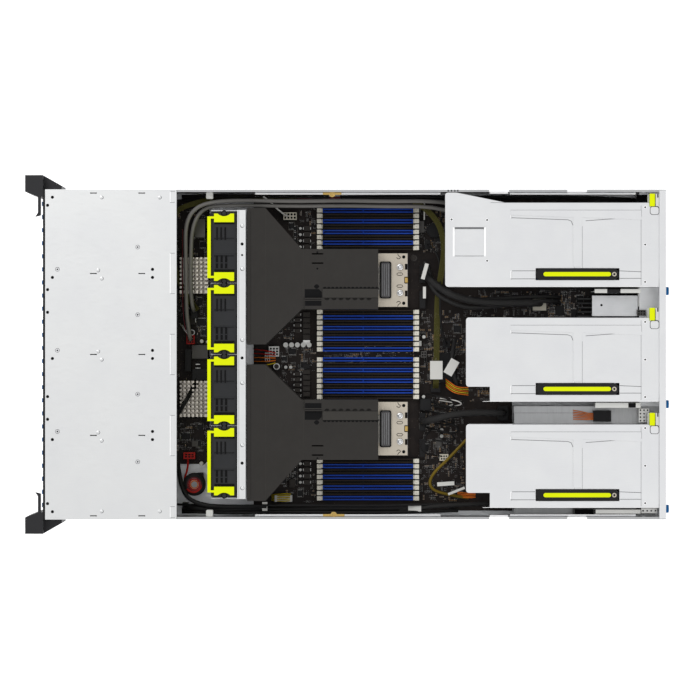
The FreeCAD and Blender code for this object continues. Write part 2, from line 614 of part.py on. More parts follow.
def fan_rotor():
    """A fan rotor: hub, shaft and swept, cambered blades lofted from root to tip."""
    rotor = body("rotor_wheel")
    front = "fan_depth + intake"
    pad(rotor, "rotor_hub", "XZ_Plane", add(front, "hub_length"), circles=[("0", "0", "hub_radius")])
    pad(rotor, "rotor_shaft", "XZ_Plane", (f"{front} + hub_length - 1", f"{FAN_REAR} - 1"),
        circles=[("0", "0", "shaft_radius")])
    middle = f"{front} + hub_length / 2"
    stations = [("blade_root", 1, "0"), ("(blade_root + blade_tip) / 2", 1.25, "-blade_lean"),
                ("blade_tip + 2", 1.1, "-blade_lean * 0.4")]
    sections = []
    for number, (radius, share, lean) in enumerate(stations, 1):
        nose = (f"{middle} - blade_chord / 2", f"{lean} - blade_twist * {share}")
        tail = (f"{middle} + blade_chord / 2", f"{lean} + blade_twist * {share}")
        waist = (middle, f"{lean} + blade_camber")
        lower = [nose, waist, tail]
        upper = [(y, f"{z} + blade_thick") for y, z in reversed(lower)]
        sections.append(sketch(rotor, f"blade_section_{number}", "YZ_Plane", radius, [lower + upper]))
    blade = rotor.newObject("PartDesign::AdditiveLoft", "blade")
    blade.Profile = sections[0]
    blade.Sections = sections[1:]
    ring = rotor.newObject("PartDesign::PolarPattern", "blades")
    ring.Originals = [blade]
    ring.Axis = (plane(rotor, "Y_Axis"), [""])
    ring.Occurrences = BLADES
    rotor.Tip = ring
    pocket(rotor, "tip_trim", "XZ_Plane", (f"{front} - 6", f"{front} + hub_length + 6"),
           circles=[("0", "0", "blade_tip"), ("0", "0", "blade_tip * 1.4")])
    return rotor


def fans():
    """Four lift-out fan modules, each with its own rotor."""
    module = [fan_frame(), fan_bail()]
    rotor = [fan_rotor()]
    for number in range(FANS):
        x = f"fan_pitch * {number - (FANS - 1) / 2}"
        node(f"fan_module_{number + 1}", module, x=x)
        node(f"fan_rotor_{number + 1}", rotor, x=x, z=FAN_AXIS)


# Main board ------------------------------------------------------------------------------------

def air_duct(name, side):
    """A moulded air duct, wide at the fans and narrow over its processor, open below and at both ends."""
    duct = body(f"{name}_shell")

    def outline(inset, front, rear):
        """The duct's plan, drawn in from its sides by an inset and run to given ends."""
        corners = [(f"duct_inner + {inset}", front), (f"duct_outer - {inset}", front),
                   (f"duct_outer - {inset}", "duct_shoulder"), (f"neck_outer - {inset}", "duct_neck"),
                   (f"neck_outer - {inset}", rear), (f"neck_inner + {inset}", rear),
                   (f"neck_inner + {inset}", "duct_neck"), (f"duct_inner + {inset}", "duct_shoulder")]
        return [(f"{side} * ({x})", y) for x, y in corners]

    low = f"{BOARD_TOP} + gap"
    pad(duct, f"{name}_block", "XY_Plane", (low, "duct_top"), [outline("0", "duct_front", "duct_rear")])
    pocket(duct, f"{name}_hollow", "XY_Plane", (low, "duct_top - duct_wall"),
           [outline("duct_wall", "duct_front - 1", "duct_rear + 1")])
    strip = (f"{side} * neck_inner", f"{side} * (neck_inner + strip_width)")
    pad(duct, f"{name}_strip", "XY_Plane", add("duct_top", "strip_height"),
        [rect(strip, ("strip_front", "duct_rear"))])
    bite = pocket(duct, f"{name}_scallop", "XY_Plane", add("duct_top", "strip_height"),
                  circles=[(strip[1], "strip_front + 30", "scallop")])
    repeat(duct, f"{name}_scallops", bite, "Y_Axis", "scallop_pitch", 7)
    slots = [rect(about(f"{side} * (neck_inner + {x})", "duct_slot_width"), add(y, "duct_slot_length"))
             for x, y in (("62", "duct_slot_front"), ("74.5", "duct_slot_front"))]
    pocket(duct, f"{name}_slots", "XY_Plane", ("duct_top - duct_wall", "duct_top"), slots)
    lip = f"{side} * (duct_inner + 4)"
    reach = f"{side} * (duct_outer - 4)"
    pad(duct, f"{name}_lip", "XY_Plane", add("duct_top", "1.2"),
        [rect((lip, reach), add("duct_front", "4"))])
    node(name, [duct])


def motherboard():
    """The main board: a plate stepped round the power supplies."""
    board = body("board_plate")
    corners = [("-board_half", "board_front"), ("board_half", "board_front"), ("board_half", "board_step"),
               ("board_step_x", "board_step"), ("board_step_x", "board_rear"),
               ("-board_half", "board_rear")]
    pad(board, "board_sheet", "XY_Plane", (BOARD_LOW, BOARD_TOP), [corners])
    node("motherboard", [board])


def slot_pieces():
    """One memory slot with its key groove, and the ejector at each end."""
    slot = body("slot_strip")
    run = add("slot_front", "slot_length")
    pad(slot, "slot_bar", "XY_Plane", add(BOARD_TOP, "slot_height"), [rect(about("0", "slot_width"), run)])
    top = f"{BOARD_TOP} + slot_height"
    pocket(slot, "slot_key", "XY_Plane", (f"{top} - groove_depth", top),
           [rect(about("0", "slot_groove"), ("slot_front + 2", "slot_front + slot_length - 2"))])
    pieces = [slot]
    for end, face, way in (("front", "slot_front", "-1"), ("rear", "slot_front + slot_length", "1")):
        latch = body(f"ejector_{end}")
        foot = f"{face} + {way} * latch_length"
        high = f"{BOARD_TOP} + latch_height"
        pad(latch, f"ejector_{end}_side", "YZ_Plane", about("0", "latch_width"),
            [[(face, BOARD_TOP), (face, top), (f"{face} + {way} * 2", top), (f"{face} + {way} * 2", high),
              (foot, high), (foot, f"{high} - 3"), (f"{foot} - {way} * 2", f"{BOARD_TOP} + 3"),
              (f"{foot} - {way} * 2", BOARD_TOP)]])
        pieces.append(latch)
    return pieces


def memory_slots():
    """Four banks of eight memory slots, beside the two processors."""
    pieces = slot_pieces()
    banks = (("outer_left", "-bank_outer"), ("inner_left", "-bank_inner"), ("inner_right", "bank_inner"),
             ("outer_right", "bank_outer"))
    slots = []
    for bank, middle in banks:
        for number in range(SLOTS_PER_BANK):
            x = f"{middle} + slot_pitch * {number - (SLOTS_PER_BANK - 1) / 2}"
            slots.append(group(f"slot_{bank}_{number + 1}", pieces, x))
    node("memory_slots", slots)


def heatsink_pieces():
    """A processor socket, its finned heat sink and the clip at the plate's rear."""
    socket = box("socket", about("0", "plate_width - 2 * socket_inset"),
                 ("plate_front + socket_inset", "plate_rear - socket_inset"), (BOARD_TOP, "plate_z"))
    sink = body("heat_sink")
    across = about("0", "plate_width")
    top = "plate_z + plate_thick"
    pad(sink, "sink_plate", "XY_Plane", ("plate_z", top), [rect(across, ("plate_front", "plate_rear"))])
    bites = [rect(about(f"{side} * plate_width / 4", "8"),
                  ("plate_rear - 4", "plate_rear")) for side in (-1, 1)]
    pocket(sink, "plate_bites", "XY_Plane", ("plate_z", top), bites)
    fins = about("0", "2 * fin_half")
    pad(sink, "fin_block", "XY_Plane", ("plate_z + plate_thick / 2", "fin_top"),
        [rect(fins, ("plate_front + socket_inset", "fin_rear"))])
    gap = pocket(sink, "fin_gap", "XY_Plane", (f"{top} + 2", "fin_top"),
                 [rect(add(f"-fin_pitch * {(FINS - 1) / 2} - fin_gap / 2", "fin_gap"),
                       ("plate_front", "fin_rear + 1"))])
    repeat(sink, "fin_gaps", gap, "X_Axis", "fin_pitch", FINS)
    clip = box("sink_clip", about("0", "clip_width"), ("clip_front", "clip_rear"), add(top, "clip_height"))
    return [socket, sink, clip]


def cpu_heatsinks():
    """Both processor heat sinks on their sockets."""
    pieces = heatsink_pieces()
    node("cpu_heatsinks", [group(f"processor_{number}", pieces, x)
                           for number, x in enumerate(("-sink_x", "sink_x"), 1)])


def board_components():
    """What stands on the main board: coils, large capacitors, plugs, riser slots, cell and rear ports."""
    top = BOARD_TOP
    pieces = []

    def brick(name, x, y, size):
        """A block on the board about a place, of a width, length and height."""
        width, length, height = size
        pieces.append(box(name, about(x, width), about(y, length), add(top, height)))

    for side in (-1, 1):
        word = "left" if side < 0 else "right"
        for number in range(7):
            x = f"{side} * sink_x + {number - 3} * 9.2"
            brick(f"coil_{word}_{number + 1}", x, "plate_front - 14", ("6.6", "7.4", "5.5"))
        for number in range(6):
            brick(f"side_coil_{word}_{number + 1}", f"{side} * (bank_inner + 3) + {number - 2.5} * 7.6",
                  "slot_front - 22", ("6.2", "9.4", "5"))
    for number in range(5):
        pieces.append(rod(f"row_cap_{number + 1}", "3.4", ("-13", f"325 + {number} * 8", top), "9"))
    brick("power_plug_front", "-189", "331", ("10", "18", "12"))
    brick("fan_plug_mid", "-4", "309", ("14", "14", "10"))
    brick("power_plug_side", "197", "322", ("9", "24", "12"))
    brick("chipset_sink", "18", "545", ("40", "22", "7"))
    brick("signal_plug_1", "-110", "512", ("24", "8", "11"))
    brick("signal_plug_2", "-75", "512", ("24", "8", "11"))
    brick("signal_plug_3", "92", "512", ("24", "8", "11"))
    brick("signal_plug_4", "128", "512", ("24", "8", "11"))
    brick("power_plug_rear", "52", "728", ("18", "20", "13"))
    brick("signal_plug_5", "-195", "597", ("16", "9", "13"))
    brick("signal_plug_6", "-176", "600", ("16", "9", "13"))
    brick("signal_plug_7", "-150", "519", ("12", "8", "8"))
    brick("signal_plug_8", "-14", "545", ("10", "10", "8"))
    brick("loom_plug_1", "-208.5", "392", ("9", "8", "10"))
    brick("loom_plug_2", "-209.5", "616", ("8", "8", "10"))
    brick("loom_plug_3", "206", "552", ("9", "8", "10"))
    brick("power_plug_gap", "-70", "672", ("20", "18", "12"))
    brick("power_plug_step", "80", "622", ("20", "14", "12"))
    pieces.append(rod("coin_cell", "10", ("-170", "528", top), "5"))
    for number, x in enumerate(("riser1_right - card_inset", "riser2_left + card_inset"), 1):
        slot = box(f"riser_slot_{number}", about(x, "7.6"), ("card_front - 3", "card_rear + 3"),
                   add(top, "11"))
        key = box(f"riser_key_{number}", about(x, "board_thick + 2 * gap"),
                  ("card_front - gap", "card_rear + gap"), (f"{top} + 3", f"{top} + 12"))
        pieces.append(cut(f"riser_socket_{number}", slot, key))
    ports = (("network_port_1", "-190", "17", "14"), ("network_port_2", "-170", "17", "14"),
             ("usb_port_1", "-148", "14", "15"), ("usb_port_2", "-130", "14", "15"),
             ("display_port", "-103", "31", "12"), ("service_port", "-70", "17", "14"))
    for name, x, width, height in ports:
        pieces.append(box(name, about(x, width), ("body_length - 30", PANEL_FACE), add(top, height)))
    port_board = box("port_board", ("-board_half", "board_step_x - 6"),
                     ("board_rear", f"{PANEL_FACE} - gap"),
                     (BOARD_LOW, top))
    pieces.append(port_board)
    node("board_components", pieces)


# Power supplies --------------------------------------------------------------------------------

def supply_pieces():
    """One power supply: case with fan grille and inlet, pull loop and release lever."""
    case = body("supply_case")
    across = ("0", "supply_width")
    height = add(SUPPLY_LOW, "supply_height")
    middle = f"{SUPPLY_LOW} + supply_height / 2"
    pad(case, "supply_block", "XZ_Plane", ("supply_front", "supply_rear"), [rect(across, height)])
    fan_x = "supply_width - supply_fan / 2 - 2"
    rings = [(fan_x, middle, "supply_fan / 2"), (fan_x, middle, "supply_fan / 2 - 4"),
             (fan_x, middle, "supply_fan / 2 - 8"), (fan_x, middle, "supply_fan / 2 - 12")]
    pocket(case, "supply_grille", "XZ_Plane", ("supply_rear - 5", "supply_rear"), circles=rings)
    pocket(case, "supply_inlet", "XZ_Plane", ("supply_rear - 12", "supply_rear"),
           [rect(add("3", "inlet_width"), about(f"{middle} - 6", "inlet_height"))])
    edge = box("supply_edge", about("supply_width / 2", "supply_width - 16"),
               ("supply_front - 8", "supply_front"), add(f"{SUPPLY_LOW} + 6", "board_thick"))
    loop = body("supply_loop")
    outer = about("supply_width - loop_width / 2 - 4", "loop_width")
    reach = ("supply_rear", "supply_rear + loop_reach")
    inner = (f"({outer[0]}) + loop_bar / 2", f"({outer[1]}) - loop_bar / 2")
    pad(loop, "loop_bow", "XY_Plane", about(middle, "loop_bar"),
        [[(outer[0], reach[0]), (inner[0], reach[0]), (inner[0], f"{reach[1]} - loop_bar / 2"),
          (inner[1], f"{reach[1]} - loop_bar / 2"), (inner[1], reach[0]), (outer[1], reach[0]),
          (outer[1], reach[1]), (outer[0], reach[1])]])
    lever = box("supply_lever", add("4", "lever_width"), add("supply_rear", "loop_reach * 0.7"),
                add(f"{SUPPLY_LOW} + supply_height - 8", "6"))
    return [case, edge, loop, lever]


def power_supplies():
    """Two hot-plug power supplies and the bay that they slide in."""
    pieces = supply_pieces()
    left = f"{BAY_LEFT} + gap"
    node("power_supply_1", pieces, x=left)
    node("power_supply_2", pieces, x=f"{left} + supply_width + divider + 2 * gap")
    bay = body("supply_bay")
    side = (f"{BAY_LEFT} - sheet", BAY_LEFT)
    middle = add(f"{BAY_LEFT} + gap + supply_width + gap", "divider")
    depth = ("bay_front", PANEL_FACE)
    pad(bay, "bay_lid", "XY_Plane", add(BAY_TOP, "sheet"), [rect((side[0], WALL_INNER), depth)])
    pad(bay, "bay_walls", "XY_Plane", ("sheet", f"{BAY_TOP} + sheet / 2"),
        [rect(side, depth), rect(middle, depth)])
    node("power_supply_bay", [bay])


# Risers ----------------------------------------------------------------------------------------

def riser_frame(name, outline, left, right, handle_x):
    """A folded riser cage: pressed top, side skirts, a bracket wall at the rear and hinge lugs."""
    cage = body(f"{name}_shell")
    low = "riser_top - sheet"
    top = pad(cage, f"{name}_top", "XY_Plane", (low, "riser_top"), [outline])
    round_corners(cage, f"{name}_corners", top, "riser_corner", [outline[0], outline[-1]])
    skirts = [rect(add(left[0], "sheet"), (left[1], "riser_rear")),
              rect((f"{right[0]} - sheet", right[0]), (right[1], "riser_rear"))]
    pad(cage, f"{name}_skirts", "XY_Plane", ("riser_low", "riser_top - sheet / 2"), skirts)
    wall = rect((left[0], right[0]), ("riser_low", "riser_top - sheet / 2"))
    pad(cage, f"{name}_wall", "XZ_Plane", ("riser_rear - sheet", "riser_rear"), [wall])
    centre = f"(({left[0]}) + ({right[0]})) / 2"
    windows = [rect(about(centre, "bracket_width"),
                    add(f"bracket_low + bracket_pitch * {row}", "bracket_height"))
               for row in range(2)]
    pocket(cage, f"{name}_windows", "XZ_Plane", ("riser_rear - sheet", "riser_rear"), windows)
    slot = rect(about(handle_x, "handle_width + 2 * gap"),
                ("handle_front - gap", "handle_rear + handle_swing"))
    pocket(cage, f"{name}_handle_slot", "XY_Plane", (low, "riser_top"), [slot])
    face = ("riser_top", "riser_top + emboss")
    inner = f"({left[0]}) + beam_inset"
    beam = [(inner, "beam_front"), (f"{inner} + beam_narrow", "beam_front"),
            (f"{inner} + beam_narrow + (beam_wide - beam_narrow) / 2", "web_front"),
            (f"{handle_x} - handle_width / 2 - 2", "web_front"),
            (f"{handle_x} - handle_width / 2 - 2", "web_rear"),
            (f"{inner} + beam_narrow + (beam_wide - beam_narrow) / 2", "web_rear"),
            (f"{inner} + beam_wide", "beam_rear"), (inner, "beam_rear")]
    pad(cage, f"{name}_beam", "XY_Plane", face, [beam])
    pin_y = "handle_rear - hinge_back"
    lugs = [rect(add(f"{handle_x} {sign} (handle_width / 2 + gap) {shift}", "sheet"), about(pin_y, "8"))
            for sign, shift in (("+", ""), ("-", "- sheet"))]
    pad(cage, f"{name}_lugs", "XY_Plane", ("handle_low - 1", f"{low} + sheet / 2"), lugs)
    pad(cage, f"{name}_pin", "YZ_Plane", about(handle_x, "handle_width + 2 * gap + sheet"),
        circles=[(pin_y, HINGE_Z, "hinge_radius")])
    return cage


HINGE_Z = "handle_low + 3.1"


def handle_pieces():
    """A flip-up riser handle with its coloured inlay, drawn about its own middle line."""
    bar = body("handle_bar")
    half = "handle_width / 2"
    plan = [(f"{half} - 4", "handle_front"), (half, "handle_front + 4"), (half, "handle_rear - 4"),
            (f"{half} - 4", "handle_rear")]
    block = pad(bar, "handle_block", "XY_Plane", ("handle_low", "handle_high"), [mirrored(plan)])
    pocket(bar, "handle_seat", "XY_Plane", ("handle_high - 1", "handle_high"),
           [rect(about("0", "lime_width"), ("handle_front + strip_in", "handle_rear - strip_in"))])
    pocket(bar, "handle_grip", "XY_Plane", ("handle_low", "handle_high - 3"),
           [rect(about("0", "handle_width - 6"), ("handle_front + 6", "handle_rear - 14"))])
    pocket(bar, "handle_bore", "YZ_Plane", about("0", "handle_width"),
           circles=[("handle_rear - hinge_back", HINGE_Z, "hinge_radius + pin_fit")])
    pocket(bar, "handle_heel", "YZ_Plane", about("0", "handle_width"),
           [[("handle_rear - 2", "handle_low - 1"), ("handle_rear + 1", "handle_low - 1"),
             ("handle_rear + 1", "handle_low + 3")]])
    inlay = box("handle_inlay", about("0", "lime_width"),
                ("handle_front + strip_in", "handle_rear - strip_in"),
                ("handle_high - 1", "handle_high"))
    return [bar, inlay]


def catch_pieces():
    """A riser catch: a coloured touch pad on a barrel, drawn about its own middle line."""
    pad_body = body("catch_pad")
    rear = "catch_front + catch_length"
    span = about("0", "catch_width")
    pad(pad_body, "catch_plate", "YZ_Plane", span,
        [[("catch_front", "catch_high - catch_thick"), (rear, "catch_high - catch_thick"),
          (rear, "catch_high - 0.8"), (f"{rear} - 1.5", "catch_high"), ("catch_front", "catch_high")]])
    pad(pad_body, "catch_lip", "YZ_Plane", span,
        [rect(add("catch_front", "1.4"), ("catch_high - 5", "catch_high - catch_thick / 2"))])
    pad(pad_body, "catch_barrel", "YZ_Plane", about("0", "catch_width - 4"),
        circles=[(CATCH_Y, CATCH_Z, "catch_pin + 1.2")])
    pocket(pad_body, "catch_bore", "YZ_Plane", span, circles=[(CATCH_Y, CATCH_Z, "catch_pin + pin_fit")])
    return [pad_body]


CATCH_Y = "catch_front + catch_length - 1.6"
CATCH_Z = "catch_high - catch_thick - catch_drop"


def catch_seat(cage, name, left, x):
    """Cuts a riser's rear corner free for its catch, and adds the catch's bracket and pin."""
    half = "(catch_width / 2 - 2)"
    reach = f"({half} + gap + sheet)"
    low = "catch_high - 10"
    corner = rect((f"{left} - 1", f"{x} + catch_width / 2 + gap"), ("catch_front - gap", "riser_rear + 1"))
    pocket(cage, f"{name}_corner", "XY_Plane", (f"{low} - 1", "riser_top + emboss"), [corner])
    arms = [rect(add(f"{x} + {half} + gap", "sheet"), about(CATCH_Y, "2 * catch_pin")),
            rect(add(f"{x} - {reach}", "sheet"), about(CATCH_Y, "2 * catch_pin"))]
    pad(cage, f"{name}_arms", "XY_Plane", (f"{low} - sheet / 2", f"{CATCH_Z} + catch_pin"), arms)
    shelf = rect(about(x, f"2 * {reach}"), ("catch_front - 2", "riser_rear"))
    pad(cage, f"{name}_shelf", "XY_Plane", (f"{low} - 2 * sheet", low), [shelf])
    pad(cage, f"{name}_catch_pin", "YZ_Plane", about(x, f"2 * {reach} - sheet"),
        circles=[(CATCH_Y, CATCH_Z, "catch_pin")])


def riser_extras(name, left, right, card_x, card_low):
    """The riser card, its edge slots and the slot blanks behind the rear windows."""
    card = box(f"{name}_card", about(card_x, "board_thick"), ("card_front", "card_rear"),
               (card_low, "card_high"))
    centre = f"(({left}) + ({right})) / 2"
    blanks = [box(f"{name}_blank_{row + 1}", about(centre, "bracket_width + 4"),
                  ("riser_rear - 2 * sheet", "riser_rear - sheet"),
                  add(f"bracket_low - 1 + bracket_pitch * {row}",
                      "bracket_height + 2")) for row in range(2)]
    return [card] + blanks


def risers():
    """Three lift-out riser cages with their handles and catches."""
    first = [("riser1_left", "riser1_front"), ("riser1_left", "riser1_slant_front"),
             ("riser1_left + riser1_shift", "riser1_slant_rear"),
             ("riser1_left + riser1_shift", "riser_rear"),
             ("riser1_right", "riser_rear"), ("riser1_right", "riser1_front")]
    cages = {"riser_cage_1": (first, ("riser1_left + riser1_shift", "riser1_slant_rear"),
                              ("riser1_right", "riser1_front + 6"), "catch1_x")}
    for number in (2, 3):
        left, right = f"riser{number}_left", f"riser{number}_right"
        outline = [(left, "riser_front"), (left, "riser_rear"), (right, "riser_rear"),
                   (right, "notch_rear"),
                   (f"{right} - notch_width", "notch_rear"), (f"{right} - notch_width", "riser_front")]
        cages[f"riser_cage_{number}"] = (outline, (left, "riser_front + 6"), (right, "notch_rear"),
                                         f"catch{number}_x")
    handle = handle_pieces()
    catch = catch_pieces()
    for number, (name, (outline, left, right, catch_x)) in enumerate(cages.items(), 1):
        handle_x = f"{right[0]} - handle_inset"
        frame = riser_frame(name, outline, left, right, handle_x)
        if number == 1:
            pocket(frame, "riser_panel", "XY_Plane", ("riser_top - press", "riser_top"),
                   [rect(("panel_left", "panel_right"), ("panel_front", "panel_rear"))])
        catch_seat(frame, name, left[0], catch_x)
        card_x = f"{right[0]} - card_inset" if number == 1 else f"{left[0]} + card_inset"
        card_low = f"{BOARD_TOP} + 3 + gap" if number < 3 else "shelf_top + gap"
        extras = riser_extras(name, left[0], right[0], card_x, card_low)
        node(name, [frame] + extras)
        node(f"riser_handle_{number}", handle, x=handle_x)
        node(f"riser_catch_{number}", catch, x=catch_x)


# Rear and fasteners ----------------------------------------------------------------------------

def rear_panel():
    """The rear wall: port openings, vents, a shelf under the risers and catch seats."""
    wall = body("panel_wall")
    left, right = f"-({WALL_INNER})", f"{BAY_LEFT} - sheet"
    pad(wall, "panel_low", "XZ_Plane", (PANEL_FACE, "body_length"),
        [rect((left, right), ("sheet", "shelf_top"))])
    pad(wall, "panel_shelf", "XY_Plane", (BAY_TOP, "shelf_top"),
        [rect((left, right), ("shelf_front", "body_length"))])
    pad(wall, "panel_top", "XY_Plane", (LID_LOW, "body_height"),
        [rect((left, WALL_INNER), ("rear_band", "body_length"))])
    hem = "(body_width / 2 - hem)"
    gaps = ((f"-{hem}", "riser1_left + riser1_shift + 4"), ("riser1_right - 5", "riser2_left + 5"),
            ("riser2_right - 5", "riser3_left + 5"), ("riser3_right - 5", hem))
    pad(wall, "panel_posts", "XZ_Plane", (PANEL_FACE, "body_length"),
        [rect(span, ("shelf_top - sheet", LID_LOW)) for span in gaps])
    ports = [rect(about(x, width), add(BOARD_TOP, height)) for x, width, height in
             (("-190", "15", "12"), ("-170", "15", "12"), ("-148", "12", "13"), ("-130", "12", "13"),
              ("-103", "29", "10"), ("-70", "15", "12"))]
    pocket(wall, "panel_ports", "XZ_Plane", (PANEL_FACE, "body_length"), ports)
    vent_starts = (("vent_left", "vent_low"),
                   ("vent_left + panel_pitch / 2", "vent_low + panel_pitch"))
    for row, (x, z) in enumerate(vent_starts):
        vent = pocket(wall, f"panel_vent_{row}", "XZ_Plane", (PANEL_FACE, "body_length"),
                      [hexagon(x, z, "vent_radius")])
        grid(wall, f"panel_vents_{row}", vent, ("X_Axis", "panel_pitch", VENT_COLUMNS),
             ("Z_Axis", "2 * panel_pitch", VENT_ROWS))
    node("rear_panel", [wall])


def fasteners():
    """The cover's screws, the heat sinks' captive screws and the captive knobs at the rear."""
    pieces = []
    for number, (x, y) in enumerate(COVER_SCREWS, 1):
        pieces.append(rod(f"cover_screw_{number}", "screw_radius", (x, y, "body_height - screw_head"),
                          "screw_head"))
    plate = "plate_z + plate_thick"
    for side in (-1, 1):
        for number, offset in enumerate((-1, 1), 1):
            word = "left" if side < 0 else "right"
            pieces.append(rod(f"sink_screw_{word}_{number}", "4",
                              (f"{side} * sink_x + {offset} * sink_screw_half", "plate_rear - 11",
                               plate), "5"))
    for number in (1, 2, 3):
        x = f"knob{number}_x"
        pieces.append(rod(f"knob_{number}", "knob_radius", (x, "body_length", "knob_z"), "knob_reach",
                          REARWARD))
    node("fasteners", pieces)


# Cables ----------------------------------------------------------------------------------------

RUN_SHARE = 0.45
CABLE_SIDES = 8


def cable(name, width, points):
    """A cable with eight flats: straight runs joined by tangent arcs, as large as the runs allow."""
    middle = value(MIDDLE)
    corners = [Vector(x, depth - middle, z) for x, depth, z in points]
    edges = []
    radii = []
    start = corners[0]
    for before, corner, after in zip(corners, corners[1:], corners[2:]):
        back = before - corner
        ahead = after - corner
        reach = RUN_SHARE * min(back.Length, ahead.Length)
        half_turn = (math.pi - back.getAngle(ahead)) / 2
        radius = reach / math.tan(half_turn)
        back.normalize()
        ahead.normalize()
        entry = corner + back * reach
        leave = corner + ahead * reach
        inward = back + ahead
        inward.normalize()
        waist = corner + inward * (radius / math.cos(half_turn) - radius)
        edges.append(Part.LineSegment(start, entry).toShape())
        edges.append(Part.Arc(entry, waist, leave).toShape())
        radii.append(radius)
        start = leave
    edges.append(Part.LineSegment(start, corners[-1]).toShape())
    path = Part.Wire(edges)
    run = corners[1] - corners[0]
    across = run.cross(Vector(0, 0, 1) if abs(run.x) > abs(run.z) else Vector(1, 0, 0)).normalize()
    upward = run.cross(across).normalize()
    turns = [2 * math.pi * number / CABLE_SIDES for number in range(CABLE_SIDES + 1)]
    spokes = [across * math.cos(turn) + upward * math.sin(turn) for turn in turns]
    section = Part.makePolygon([corners[0] + spoke * (width / 2) for spoke in spokes])
    tube = path.makePipeShell([section], True, False)
    ideal = CABLE_SIDES / 2 * math.sin(turns[1]) * (width / 2) ** 2 * path.Length
    if abs(tube.Volume / ideal - 1) > 0.01:
        raise RuntimeError(f"{name}: volume {tube.Volume:.0f}, section times length {ideal:.0f}")
    print(f"{name}: length {path.Length:.0f}, radii {min(radii):.0f} to {max(radii):.0f}")
    feature = doc.addObject("Part::Feature", name)
    feature.Shape = tube
    return feature


# Each route is a hand-laid list of places: x, depth behind the chassis front, and height.
ROUTES = {
    "signal_cable_1": ("cable_thick", [
        (-195, 597, 21.8), (-195, 597, 38), (-203, 565, 51), (-208, 520, 58), (-207, 462, 61),
        (-208.4, 402, 62), (-207, 344, 64), (-207.9, 286, 66), (-207.5, 234, 68), (-200, 205, 67),
        (-179, 190.4, 62), (-138, 190, 54), (-96, 190.6, 49), (-55, 191, 46), (-30, 194.5, 43.5),
        (-20, 195.5, 39), (-20, 195.5, 29.6)]),
    "signal_cable_2": ("cable_thick", [
        (-180, 600, 21.8), (-180, 600, 37), (-189, 567, 49), (-201, 522, 52), (-200.6, 464, 53),
        (-201.8, 404, 55), (-200.8, 344, 57), (-201.6, 288, 59), (-201.6, 236, 61), (-199, 219, 61),
        (-188, 206, 60), (-166, 198.4, 55), (-128, 197, 50), (-90, 196.6, 47), (-67, 198.6, 44.5),
        (-60, 200.5, 38), (-60, 200.5, 27.6)]),
    "wall_loom_left": ("cable_loom", [
        (-208.5, 392, 18.8), (-208.5, 392, 34), (-209.6, 420, 44), (-210.4, 456, 41), (-209.4, 510, 36),
        (-210.4, 564, 34), (-209.8, 592, 34), (-209.5, 616, 34), (-209.5, 616, 18.8)]),
    "wall_loom_right": ("cable_loom", [
        (207, 188, 24), (207, 188, 38), (210.6, 228, 47), (209.6, 284, 50), (210.6, 344, 47),
        (209.8, 404, 44), (210.6, 464, 41), (209.4, 508, 39), (206, 536, 37), (206, 552, 34),
        (206, 552, 18.8)]),
    "sleeve_cable_1": ("cable_sleeve", [
        (-110, 512, 19.8), (-110, 512, 34), (-94, 530, 46), (-80, 550, 50), (-71, 584, 51),
        (-69.4, 622, 47), (-70, 652, 44), (-70, 672, 38), (-70, 672, 20.8)]),
    "sleeve_cable_2": ("cable_sleeve", [
        (92, 512, 19.8), (92, 512, 34), (87, 532, 44), (81, 555, 48), (79, 588, 46.6), (79.6, 610, 42),
        (80, 622, 35), (80, 622, 20.8)]),
    "cross_cable": ("cable_thin", [
        (-150, 519, 16.8), (-150, 519, 30), (-135, 534, 40), (-104, 536, 43), (-60, 535, 41.6),
        (-28, 538, 38), (-14, 545, 31), (-14, 545, 16.8)]),
    "coil_lead": ("cable_thin", [
        (142.5, 192, 26), (155, 192, 26), (170, 187, 33), (184, 190, 36), (189, 201, 36),
        (182, 211, 35), (172, 211, 34), (168, 208, 31), (168, 208, 22)]),
}


def cables():
    """The cables that the chassis holds along their whole length."""
    runs = [cable(name, value(width), points) for name, (width, points) in ROUTES.items()]
    result = doc.addObject("Part::Compound", "cables")
    result.Links = runs
    result.Label = "cables"
    NODES.append(result)


chassis_tray()
drive_bay_cover()
drive_cage()
drive_carriers()
drive_backplane()
rack_ears()
fan_cage()
fans()
motherboard()
memory_slots()
cpu_heatsinks()
board_components()
air_duct("air_duct_left", "-1")
air_duct("air_duct_right", "1")
power_supplies()
rear_panel()
risers()
fasteners()
cables()
doc.recompute()

for item in doc.Objects:
    if "Invalid" in item.State or "Error" in item.State:
        raise RuntimeError(f"{item.Label} failed: {item.State}")
    if item.TypeId == "PartDesign::Pocket" and item.Shape.Volume > item.BaseFeature.Shape.Volume - 1e-3:
        raise RuntimeError(f"{item.Label} cuts nothing")
for item in NODES:
    if item.Shape.isNull() or not item.Shape.isValid():
        raise RuntimeError(f"{item.Label} has no sound shape")

os.makedirs("parts", exist_ok=True)
for item in NODES:
    item.Shape.exportStep(f"parts/{item.Label}.step")
print(f"{len(NODES)} nodes")
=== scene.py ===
"""Looks of a two-unit rack server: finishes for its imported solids, and the fine pieces on them."""

import logging
import math
import random
from dataclasses import dataclass
from enum import Enum
from typing import Callable, Iterable, Mapping, Sequence

